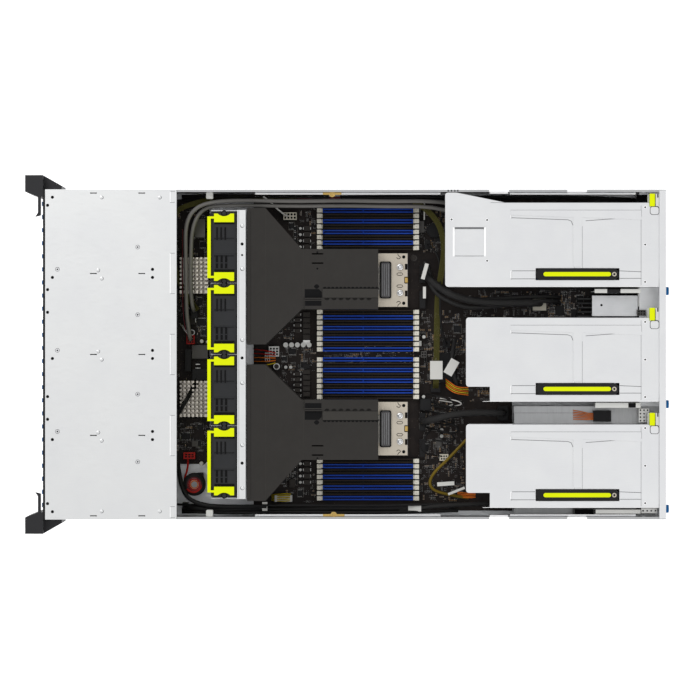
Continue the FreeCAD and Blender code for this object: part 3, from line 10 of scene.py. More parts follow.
import bpy
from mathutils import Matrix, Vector

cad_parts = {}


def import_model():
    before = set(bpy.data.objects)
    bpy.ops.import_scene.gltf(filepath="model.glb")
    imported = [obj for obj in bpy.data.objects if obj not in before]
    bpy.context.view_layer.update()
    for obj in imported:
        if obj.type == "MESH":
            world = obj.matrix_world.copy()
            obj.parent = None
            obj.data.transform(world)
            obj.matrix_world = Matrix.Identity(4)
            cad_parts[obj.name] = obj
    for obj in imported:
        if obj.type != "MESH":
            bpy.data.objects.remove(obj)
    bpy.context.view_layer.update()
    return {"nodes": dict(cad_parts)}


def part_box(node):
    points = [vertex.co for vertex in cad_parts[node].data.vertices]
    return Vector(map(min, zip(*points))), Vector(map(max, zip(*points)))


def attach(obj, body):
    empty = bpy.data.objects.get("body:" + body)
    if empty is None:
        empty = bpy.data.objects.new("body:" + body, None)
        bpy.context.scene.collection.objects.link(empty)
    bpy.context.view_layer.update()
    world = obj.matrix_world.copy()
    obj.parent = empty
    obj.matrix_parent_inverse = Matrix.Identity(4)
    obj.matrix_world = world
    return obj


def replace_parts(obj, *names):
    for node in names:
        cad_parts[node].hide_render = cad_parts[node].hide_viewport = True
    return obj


LOG = logging.getLogger("rack_server")

MM = 0.001
MIDDLE = 409.25  # the frame's origin is this far behind the chassis front, in mm
TOP = 88.0       # height of the chassis
BOARD = 8.8      # height of the motherboard's upper face
SHELF = 43.0     # height of the shelf over the power supplies
LEG_PITCH = 1.5  # distance between a chip's legs
ROW_AREA = 48    # stretch of board for each row of tiny parts, in square mm
CHASSIS = "chassis"
SIDES = (-1, 1)
SMOOTH_BELOW = math.radians(35)
TURN = 6.283     # one turn of a woven strand, in radians

Rgb = tuple[int, int, int]
Colour = tuple[float, float, float, float]
Place = tuple[float, float, float]
Point = tuple[float, float]
Rule = Callable[[Vector], bool]


def shade(red: float, green: float, blue: float) -> Colour:
    """Turns a display colour into linear light.

    Args:
        red: Red from 0 to 255.
        green: Green from 0 to 255.
        blue: Blue from 0 to 255.

    Returns:
        The colour as linear red, green, blue and alpha.
    """
    def linear(value: float) -> float:
        """One channel as linear light."""
        value /= 255
        return value / 12.92 if value <= 0.04045 else ((value + 0.055) / 1.055) ** 2.4

    return linear(red), linear(green), linear(blue), 1.0


def darker(colour: Colour, share: float) -> Colour:
    """A colour with a share of its light."""
    return (*(share * value for value in colour[:3]), 1.0)


# Shared effects --------------------------------------------------------------------------------

class Effect(Enum):
    """The shader node groups that the finishes share."""

    GRAIN = "Surface grain"
    WEAR = "Edge wear"
    DUST = "Settled dust"
    TRACKS = "Board tracks"
    BRAID = "Braided strands"


@dataclass
class Bench:
    """Adds nodes to a tree and links them."""

    tree: bpy.types.NodeTree

    def add(self, kind: str, inputs: dict | None = None, **settings) -> bpy.types.Node:
        """Adds one node.

        Args:
            kind: The node's type name.
            inputs: Input names or numbers, each with a value or the socket that feeds it.
            **settings: Properties of the node.

        Returns:
            The new node.
        """
        node = self.tree.nodes.new(kind)
        for name, value in settings.items():
            setattr(node, name, value)
        for name, value in (inputs or {}).items():
            if isinstance(value, bpy.types.NodeSocket):
                self.tree.links.new(value, node.inputs[name])
            else:
                node.inputs[name].default_value = value
        return node

    def math(self, operation: str, first, second=0.0, clamp: bool = False) -> bpy.types.NodeSocket:
        """Adds a maths node and gives its result."""
        return self.add("ShaderNodeMath", {0: first, 1: second}, operation=operation,
                        use_clamp=clamp).outputs[0]

    def vector(self, operation: str, first, second) -> bpy.types.Node:
        """Adds a vector maths node."""
        return self.add("ShaderNodeVectorMath", {0: first, 1: second}, operation=operation)

    def place(self) -> bpy.types.NodeSocket:
        """Gives the place on the object."""
        return self.add("ShaderNodeTexCoord").outputs["Object"]

    def noise(self, place, scale, detail: float, **inputs: float) -> bpy.types.NodeSocket:
        """Adds a noise texture and gives its strength."""
        return self.add("ShaderNodeTexNoise", {"Vector": place, "Scale": scale, "Detail": detail,
                                               **inputs}).outputs[0]

    def effect(self, effect: Effect, inputs: dict | None = None) -> bpy.types.Node:
        """Adds one of the shared groups."""
        return self.add("ShaderNodeGroup", inputs, node_tree=EFFECTS.get(effect))

    def finish(self, kind: str, result: bpy.types.NodeSocket) -> None:
        """Adds the tree's output node and feeds it."""
        self.tree.links.new(result, self.add(kind).inputs[0])

    def blend(self, share, first, second) -> bpy.types.NodeSocket:
        """Mixes two colours by a share and gives the result."""
        node = self.add("ShaderNodeMix", {0: share, 6: first, 7: second}, data_type="RGBA")
        return node.outputs[2]

    def ramp(self, value, low: float, high: float, start: float = 0.0,
             end: float = 1.0) -> bpy.types.NodeSocket:
        """Maps a value from one span to another, held at both ends."""
        return self.add("ShaderNodeMapRange", {0: value, 1: low, 2: high, 3: start, 4: end}).outputs[0]


Sockets = Mapping[str, bpy.types.NodeSocket]
SocketPair = tuple[bpy.types.NodeSocket, bpy.types.NodeSocket]


class EffectShelf:
    """Builds each shared node group once and hands it out."""

    def __init__(self) -> None:
        """Starts with no groups."""
        self.made: dict[Effect, bpy.types.NodeTree] = {}

    def get(self, effect: Effect) -> bpy.types.NodeTree:
        """Gives the group for an effect, building it on first use.

        Args:
            effect: Which effect.

        Returns:
            The shader node group.
        """
        if effect not in self.made:
            recipe, defaults = {
                Effect.GRAIN: (self.grain, {"Stretch": (1.0, 1.0, 1.0), "Scale": 500.0,
                                            "Cloud Scale": 12.0}),
                Effect.WEAR: (self.wear, {"Width": 0.0005, "Amount": 1.0}),
                Effect.DUST: (self.dust, {"Amount": 0.2, "Scale": 60.0}),
                Effect.TRACKS: (self.tracks, {"Pitch": 800.0, "Patch": 55.0}),
                Effect.BRAID: (self.braid, {"Scale": 420.0})}[effect]
            tree = bpy.data.node_groups.new(effect.value, "ShaderNodeTree")
            for name, default in defaults.items():
                kind = "NodeSocketVector" if isinstance(default, tuple) else "NodeSocketFloat"
                tree.interface.new_socket(name, in_out="INPUT", socket_type=kind).default_value = default
            bench = Bench(tree)
            results = recipe(bench, bench.add("NodeGroupInput").outputs)
            for name in results:
                tree.interface.new_socket(name, in_out="OUTPUT", socket_type="NodeSocketFloat")
            bench.add("NodeGroupOutput", results)
            self.made[effect] = tree
        return self.made[effect]

    @staticmethod
    def grain(bench: Bench, given: Sockets) -> Sockets:
        """Fine streaks or speckle, and broad cloudy variation."""
        place = bench.place()
        pulled = bench.vector("MULTIPLY", place, given["Stretch"]).outputs[0]
        fine = bench.noise(pulled, given["Scale"], 4.0, Roughness=0.6)
        cloud = bench.noise(place, given["Cloud Scale"], 3.0)
        return {"Fine": bench.ramp(fine, 0.3, 0.7), "Cloud": bench.ramp(cloud, 0.3, 0.7)}

    @staticmethod
    def wear(bench: Bench, given: Sockets) -> Sockets:
        """A mask that is strong on edges, broken up by noise."""
        bent = bench.add("ShaderNodeBevel", {"Radius": given["Width"]}, samples=4)
        flat = bench.add("ShaderNodeNewGeometry").outputs["Normal"]
        along = bench.vector("DOT_PRODUCT", bent.outputs[0], flat).outputs["Value"]
        edge = bench.ramp(bench.math("SUBTRACT", 1.0, along), 0.02, 0.25)
        chips = bench.ramp(bench.noise(bench.place(), 260.0, 5.0), 0.42, 0.62)
        broken = bench.math("MULTIPLY", edge, chips)
        return {"Mask": bench.math("MULTIPLY", broken, given["Amount"], clamp=True)}

    @staticmethod
    def dust(bench: Bench, given: Sockets) -> Sockets:
        """A mask of fine dust on faces that look upwards."""
        normal = bench.add("ShaderNodeNewGeometry").outputs["Normal"]
        upward = bench.ramp(bench.add("ShaderNodeSeparateXYZ", {0: normal}).outputs["Z"], 0.3, 0.95)
        drift = bench.noise(bench.place(), given["Scale"], 7.0, Roughness=0.75)
        patchy = bench.math("MULTIPLY", upward, bench.ramp(drift, 0.4, 0.75))
        return {"Mask": bench.math("MULTIPLY", patchy, given["Amount"], clamp=True)}

    @staticmethod
    def tracks(bench: Bench, given: Sockets) -> Sockets:
        """Copper tracks in runs of changing direction, and round pads."""
        place = bench.place()
        patch = bench.add("ShaderNodeTexVoronoi", {"Vector": place, "Scale": given["Patch"]},
                          distance="CHEBYCHEV")
        pick = bench.add("ShaderNodeSeparateColor", {0: patch.outputs["Color"]}).outputs
        axes = bench.add("ShaderNodeSeparateXYZ", {0: place})
        lines = []
        for axis in ("X", "Y"):
            phase = bench.math("MULTIPLY", axes.outputs[axis], given["Pitch"])
            wave = bench.math("SINE", bench.math("MULTIPLY", phase, 2 * math.pi))
            lines.append(bench.ramp(wave, 0.35, 0.55))
        along = bench.math("GREATER_THAN", pick[0], 0.5)
        chosen = bench.add("ShaderNodeMix", {0: along, 2: lines[0], 3: lines[1]}).outputs[0]
        present = bench.math("GREATER_THAN", pick[1], 0.45)
        dots = bench.add("ShaderNodeTexVoronoi", {"Vector": place, "Scale": 330.0, "Randomness": 0.7})
        near = bench.math("LESS_THAN", dots.outputs["Distance"], 0.16)
        shown = bench.math("GREATER_THAN", pick[2], 0.35)
        return {"Track": bench.math("MULTIPLY", chosen, present),
                "Pad": bench.math("MULTIPLY", near, shown)}

    @staticmethod
    def braid(bench: Bench, given: Sockets) -> Sockets:
        """Crossing strands, as on a woven cable sleeve."""
        place = bench.place()
        turns = bench.math("MULTIPLY", given["Scale"], TURN)
        waves = []
        for lean in ((1.0, 1.0, 0.6), (1.0, -1.0, 0.6)):
            run = bench.vector("DOT_PRODUCT", place, lean).outputs["Value"]
            waves.append(bench.math("SINE", bench.math("MULTIPLY", run, turns)))
        heights = [bench.math("ABSOLUTE", wave) for wave in waves]
        return {"Strand": bench.ramp(bench.math("MULTIPLY", *waves), -0.2, 0.2),
                "Height": bench.math("MAXIMUM", *heights)}


EFFECTS = EffectShelf()


def fresh_bench(owner: bpy.types.Material | bpy.types.World) -> Bench:
    """Empties the node tree of a material or world and gives a bench on it."""
    owner.use_nodes = True
    owner.node_tree.nodes.clear()
    return Bench(owner.node_tree)


def place_object(name: str, data: bpy.types.ID) -> bpy.types.Object:
    """Adds an object to the scene."""
    piece = bpy.data.objects.new(name, data)
    bpy.context.scene.collection.objects.link(piece)
    return piece


# Finishes --------------------------------------------------------------------------------------

DUST = shade(170, 165, 158)
CLOUD_SHARE = 0.9    # light of a small part's cloudy patches
PATCH_SHARE = 0.82   # light of cloudy patches where a finish states no second colour
STREAK_SHARE = 0.72  # light of rolled metal's dark streaks


@dataclass(frozen=True)
class Finish:
    """One surface finish: its colours, gloss, grain, wear and dust."""

    name: str
    slot: str
    colour: Colour
    cloud: Colour | None = None
    roughness: float = 0.5
    spread: float = 0.12
    metallic: float = 0.0
    specular: float = 0.5
    coat: float = 0.0
    stretch: Place = (1.0, 1.0, 1.0)
    grain: float = 900.0
    cloud_scale: float = 14.0
    bump: float = 0.15
    bump_depth: float = 0.00006
    edge: float = 0.0003
    wear: float = 0.0
    wear_colour: Colour = (0.6, 0.6, 0.6, 1.0)
    dust: float = 0.0

    def material(self) -> bpy.types.Material:
        """Builds the material on first use.

        Returns:
            The material for this finish.
        """
        label = f"finish_{self.name}"
        known = bpy.data.materials.get(label)
        if known:
            return known
        made = bpy.data.materials.new(label)
        made.diffuse_color = self.colour
        bench = fresh_bench(made)
        shader = bench.add("ShaderNodeBsdfPrincipled", {
            "Base Color": self.colour, "Roughness": self.roughness, "Metallic": self.metallic,
            "Specular IOR Level": self.specular, "Coat Weight": self.coat, "Coat Roughness": 0.25})
        bench.finish("ShaderNodeOutputMaterial", shader.outputs[0])
        grain = bench.effect(Effect.GRAIN, {"Stretch": self.stretch, "Scale": self.grain,
                                            "Cloud Scale": self.cloud_scale})
        colour, height = self.pattern(bench, grain)
        if self.wear:
            wear = bench.effect(Effect.WEAR, {"Amount": self.wear})
            colour = bench.blend(wear.outputs["Mask"], colour, self.wear_colour)
        if self.dust:
            dust = bench.effect(Effect.DUST, {"Amount": self.dust})
            colour = bench.blend(dust.outputs["Mask"], colour, DUST)
        bench.tree.links.new(colour, shader.inputs["Base Color"])
        gloss = bench.ramp(grain.outputs["Fine"], 0.0, 1.0, self.roughness - self.spread,
                           min(1.0, self.roughness + self.spread))
        bench.tree.links.new(gloss, shader.inputs["Roughness"])
        soft = bench.add("ShaderNodeBevel", {"Radius": self.edge}, samples=4)
        bump = bench.add("ShaderNodeBump", {"Strength": self.bump, "Distance": self.bump_depth,
                                            "Height": height, "Normal": soft.outputs[0]})
        bench.tree.links.new(bump.outputs[0], shader.inputs["Normal"])
        return made

    def pattern(self, bench: Bench, grain: bpy.types.Node) -> SocketPair:
        """Works out the colour and the bump height over the surface.

        Args:
            bench: The material's bench.
            grain: The grain group's node.

        Returns:
            The colour socket and the height socket.
        """
        other = self.cloud or darker(self.colour, PATCH_SHARE)
        colour = bench.blend(grain.outputs["Cloud"], self.colour, other)
        return colour, grain.outputs["Fine"]


@dataclass(frozen=True)
class StreakFinish(Finish):
    """Rolled or drawn metal: the fine grain also changes the colour."""

    streak: float = 0.25

    def pattern(self, bench: Bench, grain: bpy.types.Node) -> SocketPair:
        """Adds streaks to the cloudy colour."""
        colour, height = super().pattern(bench, grain)
        share = bench.math("MULTIPLY", grain.outputs["Fine"], self.streak)
        return bench.blend(share, colour, darker(self.colour, STREAK_SHARE)), height


@dataclass(frozen=True)
class BoardFinish(Finish):
    """A circuit board: solder mask with tracks and pads under and through it."""

    track_colour: Colour = (0.05, 0.04, 0.03, 1.0)
    pad_colour: Colour = (0.45, 0.4, 0.3, 1.0)

    def pattern(self, bench: Bench, grain: bpy.types.Node) -> SocketPair:
        """Lays tracks and pads over the mask colour."""
        colour, _ = super().pattern(bench, grain)
        tracks = bench.effect(Effect.TRACKS)
        colour = bench.blend(tracks.outputs["Track"], colour, self.track_colour)
        colour = bench.blend(tracks.outputs["Pad"], colour, self.pad_colour)
        return colour, tracks.outputs["Track"]


@dataclass(frozen=True)
class BraidFinish(Finish):
    """A woven sleeve or braid."""

    strand_colour: Colour = (0.1, 0.1, 0.1, 1.0)
    strand_scale: float = 420.0

    def pattern(self, bench: Bench, grain: bpy.types.Node) -> SocketPair:
        """Crosses two sets of strands."""
        braid = bench.effect(Effect.BRAID, {"Scale": self.strand_scale})
        return (bench.blend(braid.outputs["Strand"], self.colour, self.strand_colour),
                braid.outputs["Height"])


ALONG_Y = (40.0, 1.0, 40.0)
ALONG_X = (1.0, 40.0, 40.0)


def sheet(name: str, slot: str, colour: Rgb, cloud: Rgb, roughness: float = 0.42,
          stretch: Place = ALONG_Y, grain: float = 60.0, **rest) -> StreakFinish:
    """A finish of bare or plated metal.

    Args:
        name: The finish's name.
        slot: The material slot it belongs to; kept with the finish but not used.
        colour: Its main display colour.
        cloud: The display colour it drifts to.
        roughness: How dull it is.
        stretch: The way its grain runs.
        grain: How fine its grain is.
        **rest: Other settings of the finish.

    Returns:
        The finish.
    """
    values = {"streak": 0.05, "bump": 0.1, "wear": 0.2, "wear_colour": shade(244, 244, 245)} | rest
    return StreakFinish(name, slot, shade(*colour), cloud=shade(*cloud), metallic=1.0,
                        roughness=roughness, stretch=stretch, grain=grain, **values)


def moulded(name: str, slot: str, colour: Rgb, cloud: Rgb | None = None, roughness: float = 0.5,
            **rest) -> Finish:
    """A finish of moulded plastic.

    Args:
        name: The finish's name.
        slot: The material slot it belongs to; kept with the finish but not used.
        colour: Its main display colour.
        cloud: The display colour it drifts to, or a little darker than the main one if left out.
        roughness: How dull it is.
        **rest: Other settings of the finish.

    Returns:
        The finish.
    """
    main = shade(*colour)
    other = shade(*cloud) if cloud else darker(main, CLOUD_SHARE)
    values = {"grain": 1300.0, "bump": 0.25, "dust": 0.01, "specular": 0.14} | rest
    return Finish(name, slot, main, cloud=other, roughness=roughness, **values)


COVER_SHEET = sheet("cover_sheet", "cover_steel", (214, 215, 215), (211, 212, 213), dust=0.01)
ZINC_SHEET = sheet("zinc_sheet", "zinc_steel", (212, 213, 215), (205, 207, 209), 0.45, cloud_scale=60.0,
                   dust=0.02)
RISER_SHEET = sheet("riser_sheet", "riser_steel", (217, 218, 219), (213, 214, 216), 0.42,
                    cloud_scale=26.0, dust=0.01)
# Painted shade: a darker copy of the zinc sheet for the power supplies and their bay, which lie in shadow
# between the risers; it also darkens the tray hem's top and the drives behind the bezels.
SHADOWED_SUPPLY_SHEET = sheet("shadowed_supply_sheet", "supply_steel", (176, 177, 178), (168, 169, 170), 0.46, ALONG_X,
                     streak=0.2)
NICKEL = sheet("nickel", "nickel_plate", (196, 188, 174), (182, 174, 161), 0.36, ALONG_X, 50.0,
               streak=0.06)
FIN_METAL = sheet("fin_metal", "nickel_plate", (200, 194, 184), (182, 176, 168), 0.42, ALONG_X,
                  streak=0.1)
CLIP_RIB = sheet("clip_rib", "nickel_plate", (150, 151, 153), (140, 141, 143), 0.4, ALONG_X)
SCREW_METAL = sheet("screw_metal", "screw_steel", (226, 227, 228), (214, 215, 217), 0.3, grain=300.0,
                    edge=0.0001)
# Painted light on pressed sheet: a dark copy of the riser steel painted where a pressed edge, rim or rivet
# lies in shade, and a near-white copy painted where an edge, rim or bracket catches the light.
PAINTED_PRESS_SHADE = sheet("painted_press_shade", "riser_steel", (118, 119, 121), (108, 109, 111), 0.5)
PAINTED_PRESS_HIGHLIGHT = sheet("painted_press_highlight", "riser_steel", (250, 250, 250), (244, 244, 245), 0.5)
TIN = sheet("tin", "component_plastic", (198, 198, 196), (186, 186, 184), 0.36, grain=400.0, edge=0.0001)
BRASS_CLIP = sheet("brass_clip", "component_plastic", (190, 160, 96), (176, 148, 86), 0.34, grain=300.0)
GREY_BLOCK = moulded("grey_block", "nickel_plate", (98, 97, 98), (90, 89, 91), metallic=0.3, wear=0.3)
# Painted shade: a near-black finish drawn as flat marks where holes, slots, gaps and hollows hold only
# shade, and as painted shadow on the floor and shelves.
PAINTED_SHADE = moulded("painted_shade", "screw_steel", (17, 17, 18), (13, 13, 14), 0.85, dust=0.0)
BLACK_MOULDING = moulded("black_moulding", "black_plastic", (40, 39, 38), (33, 32, 32), 0.55, wear=0.15,
                         wear_colour=shade(86, 84, 82))
EAR_MOULDING = moulded("ear_moulding", "black_plastic", (47, 47, 49), (42, 42, 44), 0.5, wear=0.2,
                       wear_colour=shade(100, 100, 100))
CARRIER_MOULDING = moulded("carrier_moulding", "carrier_plastic", (30, 30, 31), (25, 25, 26), wear=0.15,
                           wear_colour=shade(80, 80, 80))
BLUE_MOULDING = moulded("blue_moulding", "carrier_plastic", (4, 96, 156), (3, 86, 142), 0.4)
LIME_MOULDING = moulded("lime_moulding", "lime_plastic", (240, 252, 0), (232, 244, 0), 0.5, bump=0.15,
                        dust=0.0)
FAN_MOULDING = moulded("fan_moulding", "fan_plastic", (48, 49, 51), (44, 45, 47), 0.55, wear=0.15,
                       wear_colour=shade(84, 84, 84))
ROTOR_MOULDING = moulded("rotor_moulding", "rotor_plastic", (38, 38, 40), (32, 32, 34), 0.45)
DUCT_MOULDING = moulded("duct_moulding", "duct_plastic", (50, 48, 46), (47, 45, 43), 0.5, cloud_scale=9.0,
                        wear=0.12, wear_colour=shade(92, 90, 87))
# Painted highlight: a lighter copy of the duct plastic for the lit tops of raised strips and seams on the
# ducts.
DUCT_PAINTED_HIGHLIGHT = moulded("duct_painted_highlight", "duct_plastic", (60, 58, 55), (56, 54, 51))
HANDLE_MOULDING = moulded("handle_moulding", "handle_plastic", (34, 34, 35), (29, 29, 30), 0.48,
                          wear=0.15, wear_colour=shade(84, 83, 82))
GREY_BUTTON = moulded("grey_button", "button_plastic", (128, 130, 132), (118, 120, 122), 0.35)
BOARD_MASK = BoardFinish("board_mask", "circuit_board", shade(31, 25, 23), cloud=shade(26, 21, 20),
                         roughness=0.5, specular=0.14, bump=0.35, track_colour=shade(44, 36, 32),
                         pad_colour=shade(95, 88, 72), dust=0.02)
GREEN_MASK = BoardFinish("green_mask", "circuit_board", shade(30, 50, 38), cloud=shade(24, 42, 33),
                         roughness=0.5, specular=0.2, bump=0.35, track_colour=shade(52, 80, 58),
                         pad_colour=shade(120, 112, 90), dust=0.02)


def part(name: str, colour: Rgb, slot: str = "component_plastic", **rest) -> Finish:
    """A finish of a small moulded part."""
    return moulded(name, slot, colour, **rest)


BLACK_PART = part("black_part", (30, 30, 31), roughness=0.45)
GREY_PART = part("grey_part", (104, 104, 103), wear=0.2)
COIL_GREY = part("coil_grey", (58, 54, 51), wear=0.2)
PLUG_GREY = part("plug_grey", (96, 94, 92))
CREAM_PART = part("cream_part", (236, 230, 212))
WHITE_PART = part("white_part", (228, 228, 224))
PRINT_WHITE = part("print_white", (150, 148, 142), slot="circuit_board")
RED_PART = part("red_part", (176, 34, 28), roughness=0.4)
TAN_PART = part("tan_part", (150, 122, 88))
SLOT_BLUE = part("slot_blue", (22, 58, 158), slot="slot_plastic")
# Painted highlight along the top edges of the blue memory slots.
PAINTED_SLOT_BLUE_HIGHLIGHT = part("painted_slot_blue_highlight", (40, 90, 200), slot="slot_plastic")
SLOT_BLACK = part("slot_black", (24, 24, 25), slot="slot_plastic")
# Painted light in the memory slots: a brownish reflection along the black slots' top edges, and the
# contacts' gold darkened as painted shade inside the slots.
PAINTED_SLOT_SHEEN_AND_SHADE = part("painted_slot_sheen_and_shade", (62, 48, 38), slot="slot_plastic")
LATCH_CREAM = part("latch_cream", (244, 240, 226), slot="slot_plastic")
LATCH_SHADE = part("latch_shade", (200, 192, 172), slot="slot_plastic")
CONTACT_SHADOW = part("contact_shadow", (10, 10, 10), roughness=0.8, slot="slot_plastic")
GREY_JACKET = part("grey_jacket", (118, 116, 113), slot="cable_jacket", bump=0.3)
OLIVE_JACKET = part("olive_jacket", (82, 79, 36), slot="cable_jacket", bump=0.3)
BLACK_JACKET = part("black_jacket", (26, 26, 26), slot="cable_jacket", bump=0.3)
ORANGE_JACKET = part("orange_jacket", (224, 116, 32), slot="cable_jacket")
YELLOW_JACKET = part("yellow_jacket", (210, 186, 40), slot="cable_jacket")
GOLD_JACKET = part("gold_jacket", (120, 100, 30), slot="cable_jacket")
RED_JACKET = part("red_jacket", (178, 36, 30), slot="cable_jacket")
MAROON_JACKET = part("maroon_jacket", (110, 50, 55), slot="cable_jacket")
WHITE_JACKET = part("white_jacket", (226, 225, 220), slot="cable_jacket")
BLACK_BRAID = BraidFinish("black_braid", "cable_jacket", shade(18, 18, 19), roughness=0.55, specular=0.2,
                          strand_colour=shade(52, 51, 50), bump=0.7, bump_depth=0.0004)


class Axis(Enum):
    """The way a turned piece points."""

    X = (1, 2, 0)
    Y = (2, 0, 1)
    Z = (0, 1, 2)


def rectangle(x: Point, y: Point, corner: float = 0.0) -> list[Point]:
    """A rectangle's outline, with cut corners if asked.

    Args:
        x: Its two sides across.
        y: Its two ends along the depth.
        corner: How much each corner is cut.

    Returns:
        The outline's points, anticlockwise.
    """
    (x0, x1), (y0, y1), c = x, y, corner
    if not c:
        return [(x0, y0), (x1, y0), (x1, y1), (x0, y1)]
    return [(x0 + c, y0), (x1 - c, y0), (x1, y0 + c), (x1, y1 - c), (x1 - c, y1), (x0 + c, y1),
            (x0, y1 - c), (x0, y0 + c)]


def inset(outline: Sequence[Point], distance: float) -> list[Point]:
    """Moves each side of an anticlockwise outline inwards.

    Args:
        outline: The outline's points.
        distance: How far inwards.

    Returns:
        The new points.
    """
    result = []
    count = len(outline)
    for number in range(count):
        before, here, after = (Vector(outline[(number + step) % count]) for step in (-1, 0, 1))
        first = (here - before).normalized()
        second = (after - here).normalized()
        inward = Vector((-first.y - second.y, first.x + second.x))
        cosine = max(0.3, inward.length / 2)
        result.append(tuple(here + inward.normalized() * distance / cosine))
    return result


class Shaper:
    """Collects solids into one mesh piece. Places are x, depth behind the front, and height, in mm."""

    def __init__(self, name: str, body: str = CHASSIS) -> None:
        """Starts an empty piece that rides on a body."""
        self.name = name
        self.body = body
        self.points: list[Place] = []
        self.faces: list[tuple[int, ...]] = []
        self.picks: list[int] = []
        self.finishes: list[Finish] = []

    def loft(self, rings: Sequence[Sequence[Place]], finish: Finish) -> None:
        """Joins rings of points into a closed solid.

        Args:
            rings: Rings of equal length, from one end to the other.
            finish: The solid's finish.
        """
        if finish not in self.finishes:
            self.finishes.append(finish)
        pick = self.finishes.index(finish)
        start = len(self.points)
        count = len(rings[0])
        for ring in rings:
            self.points.extend(ring)
        added = [tuple(reversed(range(start, start + count)))]
        for level in range(len(rings) - 1):
            low = start + level * count
            added += [(low + number, low + (number + 1) % count, low + count + (number + 1) % count,
                       low + count + number) for number in range(count)]
        added.append(tuple(range(start + (len(rings) - 1) * count, start + len(rings) * count)))
        self.faces += added
        self.picks += [pick] * len(added)

    def prism(self, outline: Sequence[Point], z: Point, finish: Finish, edge: float = 0.2) -> None:
        """An upright solid over an outline, with a cut upper edge."""
        rings = [[(x, y, z[0]) for x, y in outline], [(x, y, z[1] - edge) for x, y in outline],
                 [(x, y, z[1]) for x, y in inset(outline, edge)]]
        self.loft(rings, finish)

    def block(self, middle: Point, size: Point, z: Point, finish: Finish, edge: float = 0.2,
              corner: float = 0.0) -> None:
        """A block about a place in plan."""
        (x, y), (width, length) = middle, size
        self.prism(rectangle((x - width / 2, x + width / 2), (y - length / 2, y + length / 2), corner),
                   z, finish, edge)

    def mark(self, middle: Point, size: Point, z: Point, corner: float = 0.0) -> None:
        """A dark hollow or slot, as a thin block of painted shade."""
        self.block(middle, size, z, PAINTED_SHADE, 0.0, corner)

    def strip(self, start: Point, end: Point, width: float, z: Point, finish: Finish) -> None:
        """A thin straight strip between two places in plan."""
        first, last = Vector(start), Vector(end)
        side = (last - first).orthogonal().normalized() * width / 2
        outline = [tuple(first - side), tuple(last - side), tuple(last + side), tuple(first + side)]
        self.prism(outline, z, finish, 0.0)

    def path(self, places: Sequence[Point], width: float, z: Point, finish: Finish) -> None:
        """Thin strips along a line of places in plan."""
        for start, end in zip(places, places[1:]):
            self.strip(start, end, width, z, finish)

    def turned(self, middle: Place, profile: Sequence[Point], finish: Finish, axis: Axis = Axis.Z,
               sides: int = 24, start: float = 0.0) -> None:
        """A turned solid.

        Args:
            middle: Where the profile's zero height lies.
            profile: Radius and height of each ring.
            finish: The solid's finish.
            axis: The way it points.
            sides: How many sides it has.
            start: Angle of its first side, in turns.
        """
        rings = []
        for radius, height in profile:
            ring = []
            for number in range(sides):
                angle = 2 * math.pi * (number / sides + start)
                local = (max(radius, 0.01) * math.cos(angle), max(radius, 0.01) * math.sin(angle), height)
                ring.append(tuple(middle[way] + local[axis.value.index(way)] for way in range(3)))
            rings.append(ring)
        self.loft(rings, finish)

    def drum(self, middle: Place, radius: float, height: float, finish: Finish, edge: float = 0.3,
             axis: Axis = Axis.Z, sides: int = 24) -> None:
        """A round solid with a cut upper edge."""
        self.turned(middle, [(radius, 0), (radius, height - edge), (radius - edge, height)], finish, axis,
                    sides)

    def disc(self, middle: Place, radius: float, height: float = 0.05, finish: Finish = PAINTED_SHADE,
             sides: int = 24) -> None:
        """A flat round mark, by default a dark disc of painted shade."""
        self.turned(middle, [(radius, 0), (radius, height)], finish, sides=sides)

    def done(self) -> bpy.types.Object:
        """Makes the mesh and lets it ride.

        Returns:
            The finished piece.
        """
        mesh = bpy.data.meshes.new(self.name)
        mesh.from_pydata([(x * MM, (y - MIDDLE) * MM, z * MM) for x, y, z in self.points], [], self.faces)
        for finish in self.finishes:
            mesh.materials.append(finish.material())
        mesh.polygons.foreach_set("material_index", self.picks)
        mesh.update()
        mesh.shade_smooth()
        mesh.set_sharp_from_angle(angle=SMOOTH_BELOW)
        piece = place_object(self.name, mesh)
        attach(piece, self.body)
        LOG.info("%s: %d faces on %s", self.name, len(self.faces), self.body)
        return piece


Wires = tuple[str, float, Finish, Sequence[Sequence[Place]]]


def run_wires(name: str, routes: Iterable[Sequence[Place]], radius: float,
              finish: Finish) -> bpy.types.Object:
    """Makes round wires along smooth lines, held by the chassis.

    Args:
        name: The piece's name.
        routes: Places along each wire: x, depth and height, in mm.
        radius: The wires' radius in mm.
        finish: Their finish.

    Returns:
        One curve piece that holds all the wires.
    """
    curve = bpy.data.curves.new(name, "CURVE")
    curve.dimensions = "3D"
    curve.bevel_depth = radius * MM
    curve.bevel_resolution = 3
    curve.use_fill_caps = True
    curve.materials.append(finish.material())
    for places in routes:
        spline = curve.splines.new("NURBS")
        spline.points.add(len(places) - 1)
        for point, (x, depth, z) in zip(spline.points, places):
            point.co = (x * MM, (depth - MIDDLE) * MM, z * MM, 1.0)
        spline.order_u = 3
        spline.use_endpoint_u = True
        spline.resolution_u = 6
    piece = place_object(name, curve)
    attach(piece, CHASSIS)
    LOG.info("%s: %d wires", name, len(curve.splines))
    return piece


